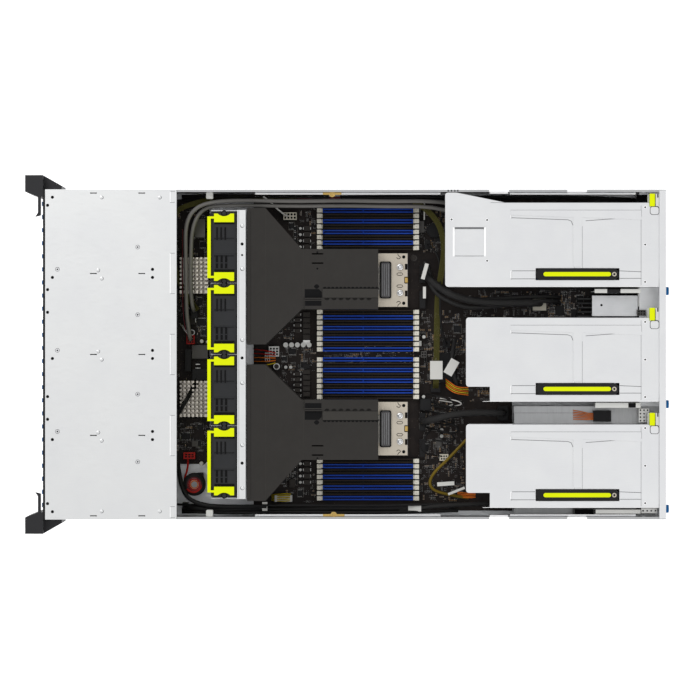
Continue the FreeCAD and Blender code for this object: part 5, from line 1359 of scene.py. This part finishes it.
@dataclass
class Risers(Assembly):
    """The three lift-out riser cages with handles and catches."""

    roof: float = 86.2
    pivot: float = 768.4
    inlay: Point = (676.0, 761.0)
    catch_depth: float = 822.7
    lefts: tuple[float, ...] = (-204.5, -49.7, 93.8)
    rights: tuple[float, ...] = (-91.0, 63.4, 206.2)
    handles: tuple[float, ...] = (-108.0, 46.4, 189.2)
    catches: tuple[float, ...] = (-207.8, -54.3, 87.0)
    holes: tuple[tuple[Point, ...], ...] = (
        ((-180.9, 597.4), (-126, 597.4), (-181.6, 549.6), (-198, 810), (-147.8, 810), (-97.7, 810)),
        ((-43.8, 810), (6.9, 810), (57.2, 810)), ((99, 810), (149.7, 810), (200, 810)))

    def build(self) -> None:
        """Dresses the cages and adds painted shade and highlight along their pressed lines, handle inlays
        and catch tabs.
        """
        for number in range(3):
            cage = f"riser_cage_{number + 1}"
            low, high = (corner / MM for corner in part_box(cage))
            # Faces a little above the roof, the sides of its raised beads, in painted shade.
            self.dress(cage, RISER_SHEET,
                       (GREEN_MASK, lambda spot: spot.z < 84 and spot.y < 746
                        and self.is_card(spot, low.x, high.x)),
                       (PAINTED_SHADE, lambda spot: 86.25 < spot.z < 86.6))
            self.pressed_lines(cage, number)
            self.handle(number)
            self.catch(cage, number)

    @staticmethod
    def is_card(spot: Vector, left: float, right: float) -> bool:
        """Tells whether a face is on the upright card near a cage's side."""
        beside = min(abs(spot.x - (left + 9)), abs(spot.x - (right - 9)))
        return beside < 1.0 and 591 < spot.y < 746

    def pressed_lines(self, cage: str, number: int) -> None:
        """Raised lines, edges and rimmed holes on a roof, drawn in painted light: painted shade and
        highlight strips along the lines and edges, and holes as dark painted-shade discs with painted
        highlight rims.
        """
        fine = Shaper(f"{cage}_press", cage)
        left, right, handle = self.lefts[number], self.rights[number], self.handles[number]
        face = (self.roof - 0.05, self.roof + 0.05)
        # Painted shade strips along the shaded sides of the pressed lines.
        dark = [[(left + 10.5, 629), (left + 10.5, 805)], [(left + 24.7, 730), (left + 19.3, 804)],
                [(left + 20.6, 630), (left + 23.3, 706), (left + 25, 710.5), (left + 31, 713)],
                [(handle - 4.5, 631), (handle - 4.5, 662)], [(handle + 5.6, 775), (handle + 5.6, 805)],
                [(handle - 4.5, 775), (handle - 3.2, 805)], [(handle + 6.3, 629), (handle + 6.3, 663)],
                [(left + 10.5, 805), (left + 19.3, 805)]]
        # Painted highlight strips along the lit sides, each with a thin painted shade line beside it.
        light = [[(left + 10.5, 629.5), (left + 20.6, 629.5)], [(left + 31, 713.7), (handle - 9, 713.7)],
                 [(left + 31, 724.5), (handle - 9, 724.5)], [(handle - 4.5, 629.5), (handle + 6.3, 629.5)],
                 [(left + 11.3, 631), (left + 11.3, 803)]]
        for line in dark:
            fine.path(line, 0.8, face, PAINTED_PRESS_SHADE)
        for line in light:
            fine.path(line, 1.3, face, PAINTED_PRESS_HIGHLIGHT)
            fine.path([(x + 0.9, depth + 0.9) for x, depth in line], 0.4, face, PAINTED_PRESS_SHADE)
        if number == 0:
            # Painted shade and highlight on the edges of riser 1's square emboss.
            fine.strip((-170, 552), (-170, 595), 2.6, face, PAINTED_PRESS_SHADE)
            fine.strip((-132.5, 552), (-132.5, 595), 0.5, face, PAINTED_PRESS_SHADE)
            for depth in (552.5, 594.5):
                fine.strip((-171, depth), (-132, depth), 2.4, (face[0], face[1] + 0.03), PAINTED_PRESS_HIGHLIGHT)
        # Holes as dark painted-shade discs with painted highlight rims.
        for x, depth in self.holes[number]:
            fine.disc((x, depth, self.roof - 0.03), 2.0, 0.06, PAINTED_PRESS_HIGHLIGHT)
            fine.disc((x, depth, self.roof), 1.25, 0.08)
        # Painted highlight along the right edge, painted shade along the left edge and a painted shade line
        # across the rear.
        edge = (self.roof - 0.4, self.roof + 0.03)
        front = 542.0 if number == 0 else 571.5
        fine.strip((right - 0.3, front + 20), (right - 0.3, 828), 0.5, edge, PAINTED_PRESS_HIGHLIGHT)
        fine.strip((left + 0.3, front + 60), (left + 0.3, 828), 0.5, edge, PAINTED_PRESS_SHADE)
        fine.strip((left + 4, 804.5), (right - 2, 804.5), 0.5, face, PAINTED_PRESS_SHADE)
        fine.done()

    def handle(self, number: int) -> None:
        """A lime inlay and a nickel pivot ring on a handle."""
        node = f"riser_handle_{number + 1}"
        self.dress(node, HANDLE_MOULDING)
        x = self.handles[number]
        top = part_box(node)[1][2] / MM
        fine = Shaper(f"{node}_inlay", node)
        ends = [(x + 2.9 * math.sin(math.pi * step / 8), self.inlay[1] + 3 * math.cos(math.pi * step / 8))
                for step in range(-4, 5)]
        ends += [(x - 2.9 * math.sin(math.pi * step / 8),
                  self.inlay[0] - 3 * math.cos(math.pi * step / 8)) for step in range(-4, 5)]
        fine.prism(ends[::-1], (top - 0.5, top + 0.03), LIME_MOULDING, 0.0)
        fine.turned((x, self.pivot, top - 0.4), [(3.0, 0), (3.0, 0.42), (2.6, 0.46)], NICKEL)
        # The pivot hole as a dark painted-shade disc.
        fine.disc((x, self.pivot, top), 1.5, 0.08)
        fine.done()

    def catch(self, cage: str, number: int) -> None:
        """The bright tab beside a catch, with a painted shadow round it, and the pale plate behind it with
        a small dark painted-shade mark.
        """
        self.dress(f"riser_catch_{number + 1}", LIME_MOULDING)
        x = self.catches[number]
        edge = x + 8.5
        fine = Shaper(f"{cage}_tab", cage)
        fine.mark((edge + 5.6, self.catch_depth), (11.8, 12.6), (self.roof - 0.05, self.roof + 0.02), 2.2)
        fine.block((edge + 5.8, self.catch_depth), (10.2, 11.2), (self.roof - 0.04, self.roof + 0.4),
                   RISER_SHEET, 0.2, 1.9)
        fine.block((x, 826.5), (16.6, 4.4), (self.roof - 0.05, self.roof + 0.1), WHITE_PART, 0.05)
        fine.mark((x - 5.8, 827), (5, 1.6), (self.roof, self.roof + 0.14))
        fine.done()


@dataclass
class RearEnd(Assembly):
    """The power supplies, the rear wall, the captive knobs and the fittings between the risers."""

    supplies: tuple[float, ...] = (109.8, 184.6)

    def build(self) -> None:
        """Dresses the rear and adds the fittings between the risers."""
        self.dress("rear_panel", RISER_SHEET)
        # The supply bay and the supplies in the darker shadowed sheet, painted shade between the risers;
        # the faces inside each supply's rear opening in painted shade.
        self.dress("power_supply_bay", SHADOWED_SUPPLY_SHEET)
        for number in (1, 2):
            self.dress(f"power_supply_{number}", SHADOWED_SUPPLY_SHEET,
                       (GREEN_MASK, lambda spot: spot.y < 644.9),
                       (BLACK_MOULDING, lambda spot: spot.y > 822.05),
                       (PAINTED_SHADE, lambda spot: 808 < spot.y < 821.5 and 4 < spot.z < 43))
        self.dress("fasteners", SCREW_METAL, (BLUE_MOULDING, lambda spot: spot.y > 837.9))
        self.first_gap()
        self.second_gap()
        self.right_edge()
        self.grilles()
        self.sockets()

    @staticmethod
    def sockets() -> None:
        """Socket mouths as dark blocks of painted shade, with contact tongues, behind the rear wall's port
        openings.
        """
        fine = Shaper("port_sockets")
        for x, width, height in ((-190, 15, 12), (-170, 15, 12), (-148, 12, 13), (-130, 12, 13),
                                 (-103, 29, 10), (-70, 15, 12)):
            fine.block((x, 836.2), (width - 1.4, 0.8), (9.6, 8.2 + height), PAINTED_SHADE, 0.05)
            fine.block((x, 836.8), (width - 5, 0.7), (8.4 + height / 2, 9.6 + height / 2), GREY_PART, 0.05)
        fine.done()

    @staticmethod
    def rail(fine: Shaper, x: Point, depth: Point, foot: float) -> None:
        """A white guide strip on a web that stands on the metal below it."""
        middle = ((x[0] + x[1]) / 2, (depth[0] + depth[1]) / 2)
        fine.block(middle, (1.4, depth[1] - depth[0] - 1), (foot, 78.2), WHITE_PART, 0.1)
        fine.block(middle, (x[1] - x[0], depth[1] - depth[0]), (78, 79.2), WHITE_PART, 0.3)

    @staticmethod
    def cage(fine: Shaper, x: Point, depth: Point, z: Point, counts: tuple[int, int]) -> None:
        """A bright port cage with a lattice of small holes drawn as dark painted-shade discs."""
        middle = ((x[0] + x[1]) / 2, (depth[0] + depth[1]) / 2)
        fine.block(middle, (x[1] - x[0], depth[1] - depth[0]), z, TIN, 0.3)
        for column in range(counts[0]):
            for row in range(counts[1]):
                place = (x[0] + (column + 0.5) * (x[1] - x[0]) / counts[0],
                         depth[0] + (row + 0.5) * (depth[1] - depth[0]) / counts[1])
                fine.disc((*place, z[1] - 0.02), 1.1, 0.06)

    def first_gap(self) -> None:
        """Guide strips, a small plate, a port cage and a plug between risers 1 and 2."""
        fine = PartKit("gap_1_fittings")
        plate = (SHELF - 1.2, SHELF)
        fine.block((-66, 773), (28, 62), plate, ZINC_SHEET, 0.1)
        # A hole as a dark painted-shade disc.
        fine.disc((-67, 754.7, SHELF), 1.6)
        for x, depth in ((-78, 745), (-78, 800), (-54, 745), (-54, 800)):
            fine.drum((x, depth, 8.8), 1.8, plate[0] - 8.8, TIN, 0.0)
        for depth in ((742.6, 759.5), (777.5, 804.5)):
            self.rail(fine, (-88.2, -82.8), depth, 8.8)
        fine.block((-85.5, 768.5), (5, 16.6), (8.8, 78.6), BLACK_PART, 0.4)
        self.cage(fine, (-90.5, -65), (804.5, 826), (20, 41), (5, 3))
        fine.block((-56.5, 808.5), (8, 12), (42.9, 50), PLUG_GREY, 0.4)
        fine.cells((-56.5, 808.5), (3.2, 3.6), (2, 3), 50)
        fine.done()

    def second_gap(self) -> None:
        """A guide strip, a plug with its leads and a port cage between risers 2 and 3."""
        fine = PartKit("gap_2_fittings", SHELF)
        self.rail(fine, (65, 72), (743.5, 804.5), SHELF)
        # A dark painted-shade mark on the guide strip.
        fine.mark((68.5, 793), (6.4, 10), (79.1, 79.4))
        fine.block((83.6, 755), (15, 24), (43, 54), BLACK_PART, 0.5)
        self.cage(fine, (73, 92), (803.5, 818), (43, 62), (4, 3))
        # A painted shade line along the shelf.
        fine.strip((79.5, 637), (79.5, 742), 0.5, (42.98, 43.05), PAINTED_PRESS_SHADE)
        fine.done()
        leads = [((80.2 + number * 1.6, 744, 50), (80 + number * 1.7, 736, 52),
                  (77.5 + number * 2.1, 727, 47), (76 + number * 2.4, 716, 44.2)) for number in range(6)]
        run_wires("gap_2_leads", leads, 0.6, ORANGE_JACKET)

    def right_edge(self) -> None:
        """A recessed frame with painted shade in its hollow, a guide strip and a port cage beside riser 3.
        """
        fine = Shaper("right_edge_fittings")
        fine.block((213.5, 729.5), (11, 28), (43, 60), GREY_PART, 0.3)
        fine.mark((213.5, 729.5), (8.4, 25), (60, 60.05))
        self.rail(fine, (209, 214.6), (744, 804.5), 43)
        self.cage(fine, (207.5, 214.8), (806, 828), (43, 70), (1, 4))
        fine.done()

    def grilles(self) -> None:
        """A status light on the end of each power supply, and three dark slots on its top."""
        for number, x in enumerate(self.supplies, 1):
            node = f"power_supply_{number}"
            fine = Shaper(f"{node}_details", node)
            fine.drum((x - 28, 821.9, 8), 1.2, 0.4, WHITE_PART, 0.1, Axis.Y, 16)
            # Three slots as dark painted-shade marks on each supply's top.
            for row in range(3):
                fine.mark((x - 31, 700 + row * 20), (0.6, 12), (40.99, 41.04))
            fine.done()


@dataclass
class Chassis(Assembly):
    """The folded tray with its wall fittings."""

    clip_depth: float = 223.3
    brackets: Point = (613.5, 718.5)

    def build(self) -> None:
        """Dresses the tray and adds clips, latches and hem brackets, with painted light: the hem's top
        darker, painted highlight on the wall tops and brackets, and painted shade in dark patches, slots
        and a band on each wall.
        """
        # The hem's top in the darker shadowed sheet, and a band on each wall in painted shade.
        self.dress("chassis_tray", ZINC_SHEET, (SHADOWED_SUPPLY_SHEET, lambda spot: spot.z > 86.7),
                   (PAINTED_SHADE, lambda spot: abs(spot.x) > 216.7 and 69 < spot.z < 72
                    and abs(spot.x) < 218.6))
        fine = Shaper("wall_fittings")
        for side in SIDES:
            # Painted highlight along the top of each wall.
            for depth in ((285.5, 534.5), (628.5, 797.5)):
                fine.strip((side * 216, depth[0]), (side * 216, depth[1]), 0.9, (81.8, 82.05), PAINTED_PRESS_HIGHLIGHT)
            fine.block((side * 214.6, self.clip_depth), (9, 9.4), (60, 72), WHITE_PART, 0.6, 1.0)
            fine.block((side * 211, self.clip_depth), (1.6, 5), (56, 66), WHITE_PART, 0.3)
            # Hem brackets coloured near-white as painted highlight.
            for depth in self.brackets:
                fine.block((side * 220.2, depth), (3.2, 27), (80, 86.84), PAINTED_PRESS_HIGHLIGHT, 0.2)
                fine.block((side * 217.6, depth), (2.2, 25), (72, 80.5), PAINTED_PRESS_HIGHLIGHT, 0.2)
            depth = 389 if side < 0 else 391
            fine.turned((side * 216.2, depth, 82), [(4.4, 0), (4.4, 1.3), (2.6, 1.3), (2.4, 0.4)],
                        BRASS_CLIP)
            for turn in SIDES:
                fine.block((side * 216.6, depth + turn * 8), (3.4, 9 if side < 0 else 13), (81.6, 82.9),
                           BRASS_CLIP, 0.3)
            # Painted shade on the shelf by each wall, and painted shadow on the floor along each wall.
            fine.mark((side * 211.5, 815), (11, 26), (43, 43.2))
            fine.mark((side * 214.5, 232), (8, 100), (1.2, 1.4))
        # Slots in the hem as dark painted-shade marks.
        for depth in (545, 549.5, 554, 558):
            fine.mark((-220.3, depth), (2.6, 1.6), (86.6, 86.83))
        fine.done()


# Cables ----------------------------------------------------------------------------------------

HELD = (
    ("signal_cable_1", 2.75, GREY_JACKET, (
        (-195, 597, 21.8), (-195, 597, 38), (-203, 565, 51), (-208, 520, 58), (-207, 462, 61),
        (-208.4, 402, 62), (-207, 344, 64), (-207.9, 286, 66), (-207.5, 234, 68), (-200, 205, 67),
        (-179, 190.4, 62), (-138, 190, 54), (-96, 190.6, 49), (-55, 191, 46), (-30, 194.5, 43.5),
        (-20, 195.5, 39), (-20, 195.5, 29.6))),
    ("signal_cable_2", 2.75, GREY_JACKET, (
        (-180, 600, 21.8), (-180, 600, 37), (-189, 567, 49), (-201, 522, 52), (-200.6, 464, 53),
        (-201.8, 404, 55), (-200.8, 344, 57), (-201.6, 288, 59), (-201.6, 236, 61), (-199, 219, 61),
        (-188, 206, 60), (-166, 198.4, 55), (-128, 197, 50), (-90, 196.6, 47), (-67, 198.6, 44.5),
        (-60, 200.5, 38), (-60, 200.5, 27.6))),
    ("wall_loom_left", 3.0, BLACK_JACKET, (
        (-208.5, 392, 18.8), (-208.5, 392, 34), (-209.6, 420, 44), (-210.4, 456, 41),
        (-209.4, 510, 36), (-210.4, 564, 34), (-209.8, 592, 34), (-209.5, 616, 34),
        (-209.5, 616, 18.8))),
    ("wall_loom_right", 3.0, BLACK_JACKET, (
        (207, 188, 24), (207, 188, 38), (210.6, 228, 47), (209.6, 284, 50), (210.6, 344, 47),
        (209.8, 404, 44), (210.6, 464, 41), (209.4, 508, 39), (206, 536, 37), (206, 552, 34),
        (206, 552, 18.8))),
    ("sleeve_cable_1", 5.0, BLACK_BRAID, (
        (-110, 512, 19.8), (-110, 512, 34), (-94, 530, 46), (-80, 550, 50), (-71, 584, 51),
        (-69.4, 622, 47), (-70, 652, 44), (-70, 672, 38), (-70, 672, 20.8))),
    ("sleeve_cable_2", 5.0, BLACK_BRAID, (
        (92, 512, 19.8), (92, 512, 34), (87, 532, 44), (81, 555, 48), (79, 588, 46.6),
        (79.6, 610, 42), (80, 622, 35), (80, 622, 20.8))),
    ("cross_cable", 1.4, BLACK_JACKET, (
        (-150, 519, 16.8), (-150, 519, 30), (-135, 534, 40), (-104, 536, 43), (-60, 535, 41.6),
        (-28, 538, 38), (-14, 545, 31), (-14, 545, 16.8))),
    ("coil_lead", 1.4, RED_JACKET, (
        (142.5, 192, 26), (155, 192, 26), (170, 187, 33), (184, 190, 36), (189, 201, 36),
        (182, 211, 35), (172, 211, 34), (168, 208, 31), (168, 208, 22))))


@dataclass
class Wiring(Assembly):
    """The cables that the chassis holds."""

    def build(self) -> None:
        """Runs each cable on a smooth line in place of its plain solid, then the loose wires."""
        for name, radius, finish, route in HELD:
            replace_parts(run_wires(name, [route], radius, finish), "cables")
        for name, radius, finish, routes in (*self.left_wall(), *self.right_wall(), *self.middle()):
            run_wires(name, routes, radius, finish)
        self.tags_and_glint()

    @staticmethod
    def left_wall() -> list[Wires]:
        """Ribbons and strands that share the left wall with the grey cables."""
        ribbon = ((-60, 205, 30), (-100, 172, 36), (-192, 168, 40), (-206, 200, 46), (-213.5, 250, 36),
                  (-213, 330, 26), (-213, 362, 22))
        strands = [((-213, 374, 24), (-213, 392, 30), (-212.6, 440, 47), (-213.6, 520, 47),
                    (-212.8, 600, 44), (-213.2, 700, 40), (-212, 790, 38), (-211, 800, 20)),
                   ((-216, 400, 20), (-215.6, 480, 52), (-214.6, 560, 40), (-215.2, 640, 48),
                    (-214.4, 740, 44), (-213, 796, 20))]
        strands += [((x, 184, 30), (x - 1, 230, 44 + row * 5), (x, 300, 40 + row * 5), (x, 384, 34))
                    for row, x in enumerate((-210.4, -213.4, -216.2))]
        return [
            ("ribbon_left", 0.6, OLIVE_JACKET, side_by_side(ribbon, 6, 1.3)),
            ("strands_left", 1.3, BLACK_JACKET, strands),
            ("wrap_left", 4.2, BLACK_JACKET, [((-213, 361, 22), (-213, 368, 23), (-213, 376, 24))]),
            ("sheath_left", 2.2, MAROON_JACKET, [
                ((-213, 340, 25), (-213, 350, 23), (-213, 361, 22)),
                ((-213, 376, 24), (-213, 388, 29), (-213, 400, 34))]),
            ("lead_left", 1.1, WHITE_JACKET, [
                ((-213.5, 296, 60), (-206, 306, 50), (-196, 316, 36), (-189, 326, 24), (-189, 329, 18))]),
            ("maroon_lead", 0.7, MAROON_JACKET, [
                ((-170, 186, 50), (-120, 185, 46), (-60, 185.6, 42), (-34, 189, 40), (-22, 192, 36),
                 (-20, 194, 29.4))]),
            ("pin_leads", 0.7, WHITE_JACKET, [
                ((-42, 181, 22), (-36, 186, 38), (-28, 192, 40), (-22, 196, 29)),
                ((-40, 184, 22), (-34, 189, 36), (-27, 195, 38), (-21, 198, 29))])]

    @staticmethod
    def right_wall() -> list[Wires]:
        """The coil of thin leads and the strands along the right wall."""
        loops = [[(177 + reach * math.cos(math.pi * step / 6), 201 + reach * math.sin(math.pi * step / 6),
                   33 + number * 0.9 + step * 0.1) for step in range(-2, 11)]
                 for number, reach in enumerate(14 - number * 2.2 for number in range(5))]
        strands = [[(x, 176 + 12 * number, 30), (x + 1, 230, 54 - number * 4),
                    (x - 0.6, 330, 58 - number * 4), (x + 0.8, 430, 55 - number * 3),
                    (x - 0.4, 510, 50 - number * 3), (x - 2, 560, 36)]
                   for number, x in enumerate((204.4, 213.6, 215.2))]
        fan = [((191 + number * 2.2, 332, 19), (190 + number * 2.6, 326, 26), (191 + number * 2.4, 314, 22),
                (192 + number * 2, 306, 14)) for number in range(5)]
        middle = [((-2 + number * 3.4, 311, 18.4), (-4 + number * 4.4, 304, 25),
                   (-6 + number * 5.2, 292, 20), (-7 + number * 5.6, 282, 12)) for number in range(5)]
        front = [((30 + number * 5, 205, 26), (48 + number * 4, 196, 42), (66 + number * 3, 187, 50),
                  (95, 168 + number * 2, 34)) for number in range(3)]
        return [
            ("coil_black", 2.2, BLACK_JACKET, loops[:2]),
            ("coil_maroon", 1.1, MAROON_JACKET, loops[2:3]),
            ("coil_red", 0.9, RED_JACKET, loops[3:4]),
            ("coil_orange", 0.7, ORANGE_JACKET, loops[4:]),
            ("thick_right", 3.0, BLACK_JACKET, [
                ((150, 178, 24), (165, 181, 37), (182, 185, 42), (196, 193, 46), (204, 212, 50),
                 (207, 240, 52), (206, 300, 54))]),
            ("strands_right", 1.5, BLACK_JACKET, strands),
            ("fan_leads_right", 0.7, YELLOW_JACKET, fan),
            ("fan_leads_red", 0.8, RED_JACKET, middle[:2]),
            ("fan_leads_orange", 0.8, ORANGE_JACKET, middle[2:4]),
            ("fan_leads_yellow", 0.8, YELLOW_JACKET, middle[4:]),
            ("strands_front", 1.1, BLACK_JACKET, front)]

    @staticmethod
    def middle() -> list[Wires]:
        """Ribbons, sleeves and thin leads in front of the risers."""
        ribbon = ((-208, 500, 40), (-192, 528, 46), (-150, 543, 44), (-104, 536, 46), (-80, 532, 36),
                  (-20, 531, 33), (30, 530.5, 32), (42, 530, 30), (46, 530, 20))
        loops = [[(x - 8, depth - 22, 20), (x - 6, depth - 10, 36), (x, depth + 12, 40),
                  (x + 9, depth + 16, 36), (x + 12, depth + 2, 30), (x + 8, depth - 14, 22)]
                 for x, depth in ((62 + number * 11.5, 540 + (number % 2) * 6) for number in range(5))]
        lines = [((34 + number * 2.4, 544, 22), (38 + number * 2.8, 549, 35), (46 + number * 2, 560, 38),
                  (45 + number * 2.6, 574, 30)) for number in range(5)]
        return [
            ("ribbon_middle", 0.62, OLIVE_JACKET, side_by_side(ribbon, 6, 1.35)),
            ("sleeves_middle", 3.0, BLACK_BRAID, [
                ((-20, 556, 18), (-6, 553, 30), (16, 551, 33), (36, 557, 30), (50, 562, 22)),
                ((-126, 515, 30), (-90, 518, 42), (-66, 556, 46), (-62, 590, 46), (-76, 690, 40),
                 (-70, 700, 12)),
                ((-122, 519, 28), (-92, 524, 38), (-76, 556, 42), (-74, 600, 42), (-80, 680, 36),
                 (-78, 700, 12)),
                ((212, 480, 40), (209, 505, 44), (206, 530, 46), (204, 566, 42), (203, 600, 38))]),
            ("loops_middle", 1.2, BLACK_JACKET, loops),
            ("cream_loops", 0.8, WHITE_JACKET, [
                ((60, 536, 22), (61, 548, 36), (64, 562, 40), (69, 566, 38), (70, 556, 30)),
                ((63, 535, 22), (64, 546, 34), (67, 558, 37), (70, 548, 28))]),
            ("olive_cable", 2.0, GOLD_JACKET, [
                ((112, 575, 38), (142, 547, 42), (161, 526, 38), (178, 519.5, 34), (190, 534, 30),
                 (196, 575, 24))]),
            ("thin_loop", 0.9, BLACK_JACKET, [
                ((99, 528.8, 18), (106, 520, 32), (115, 513.5, 36), (125, 508, 36), (133, 512, 32),
                 (138, 526, 26), (139, 538, 18))]),
            ("leads_orange", 0.7, ORANGE_JACKET, lines[::2]),
            ("leads_yellow", 0.7, YELLOW_JACKET, lines[1::2]),
            ("leads_right", 0.6, ORANGE_JACKET, [
                ((188 + number * 2, 560, 20), (190 + number * 2, 572, 34), (189 + number * 2, 584, 30))
                for number in range(4)]),
            ("white_bridge", 1.0, WHITE_JACKET, [
                ((-210, 514.3, 40), (-200, 514.3, 38), (-184, 514.3, 24))])]

    @staticmethod
    def tags_and_glint() -> None:
        """Bare white tags on the cables, and one white strip painted as the glint on a black sleeve."""
        fine = Shaper("cable_tags_and_glint")
        tag_and_glint_strips = (((21.4, 522), (21.4, 539), 25, 34), ((14.3, 545.5), (20.6, 556.5), 22, 36.4),
                ((-113.4, 512), (-112, 517), 22, 50), ((176.8, 531.6), (175.2, 554.8), 5.4, 38),
                ((190.4, 546.6), (181.4, 569), 3.4, 36), ((206, 294), (206, 301), 12, 55),
                # The last strip here is no tag: a painted highlight for the glint on a black sleeve.
                ((209, 492), (209, 509.6), 8.6, 47), ((-84, 512), (-84, 516), 16, 47))
        for start, end, width, height in tag_and_glint_strips:
            fine.strip(start, end, width, (height, height + 0.3), WHITE_JACKET)
        fine.done()


# Studio ----------------------------------------------------------------------------------------

@dataclass
class Studio:
    """The floor, lights, world and camera."""

    height: float = 4.2
    view_width: float = 0.9412
    aim: Point = (-0.006, 0.0037)
    sensor: float = 36.0

    def build(self) -> None:
        """Sets the whole stage."""
        self.floor()
        self.world()
        self.lights()
        self.camera()
        bpy.context.scene.view_settings.view_transform = "Standard"

    def floor(self) -> None:
        """A pale floor that shows white and keeps the shadow."""
        reach = 6.0
        mesh = bpy.data.meshes.new("studio_floor")
        mesh.from_pydata([(-reach, -reach, 0), (reach, -reach, 0), (reach, reach, 0), (-reach, reach, 0)],
                         [], [(0, 1, 2, 3)])
        piece = place_object("studio_floor", mesh)
        piece.location.z = -0.0005
        paper = bpy.data.materials.new("studio_paper")
        bench = fresh_bench(paper)
        plain = bench.add("ShaderNodeBsdfDiffuse", {"Color": shade(225, 225, 225)})
        glow = bench.add("ShaderNodeEmission", {"Color": (1, 1, 1, 1), "Strength": 1.0})
        bright = bench.add("ShaderNodeAddShader", {0: plain.outputs[0], 1: glow.outputs[0]})
        path = bench.add("ShaderNodeLightPath")
        seen = bench.math("MAXIMUM", path.outputs["Is Camera Ray"], path.outputs["Is Glossy Ray"])
        seen = bench.math("MAXIMUM", seen, path.outputs["Is Transmission Ray"])
        mixed = bench.add("ShaderNodeMixShader", {0: seen, 1: plain.outputs[0], 2: bright.outputs[0]})
        bench.finish("ShaderNodeOutputMaterial", mixed.outputs[0])
        mesh.materials.append(paper)

    def world(self) -> None:
        """An even, soft sky."""
        world = bpy.data.worlds.new("studio_sky")
        bpy.context.scene.world = world
        bench = fresh_bench(world)
        soft = bench.add("ShaderNodeBackground", {"Color": (1, 1, 1, 1), "Strength": 0.62})
        seen = bench.add("ShaderNodeBackground", {"Color": (1, 1, 1, 1), "Strength": 1.0})
        path = bench.add("ShaderNodeLightPath")
        share = bench.math("MAXIMUM", path.outputs["Is Camera Ray"], path.outputs["Is Glossy Ray"])
        mixed = bench.add("ShaderNodeMixShader", {0: share, 1: soft.outputs[0], 2: seen.outputs[0]})
        bench.finish("ShaderNodeOutputWorld", mixed.outputs[0])

    def lights(self) -> None:
        """Two large soft lamps."""
        for name, place, power, size in (("lamp_key", (-1.6, -1.2, 2.0), 26.0, 1.6),
                                         ("lamp_fill", (1.5, 1.4, 1.8), 12.0, 1.6)):
            lamp = bpy.data.lights.new(name, "AREA")
            lamp.energy = power
            lamp.size = size
            piece = place_object(name, lamp)
            piece.location = place
            piece.rotation_euler = (-Vector(place)).to_track_quat("-Z", "Y").to_euler()

    def camera(self) -> None:
        """A long lens straight above, with the chassis front at the left of the view."""
        lens = bpy.data.cameras.new("camera")
        lens.sensor_width = self.sensor
        lens.lens = self.sensor * self.height / self.view_width
        lens.clip_end = 50.0
        piece = place_object("camera", lens)
        piece.location = (*self.aim, self.height + TOP * MM)
        piece.rotation_euler = (0.0, 0.0, math.pi / 2)
        bpy.context.scene.camera = piece


def main() -> None:
    """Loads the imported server, dresses each sub-assembly and sets the stage."""
    logging.basicConfig(level=logging.INFO, format="%(message)s")
    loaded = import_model()
    frame = Frame(loaded["nodes"])
    for assembly in (Chassis(frame), DriveBays(frame), Expander(frame), FanRow(frame), AirDucts(frame),
                     Processors(frame), MemoryBanks(frame), MainBoard(frame), Risers(frame),
                     RearEnd(frame), Wiring(frame)):
        assembly.build()
        LOG.info("dressed %s", type(assembly).__name__)
    Studio().build()
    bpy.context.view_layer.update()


if __name__ == "__main__":
    main()
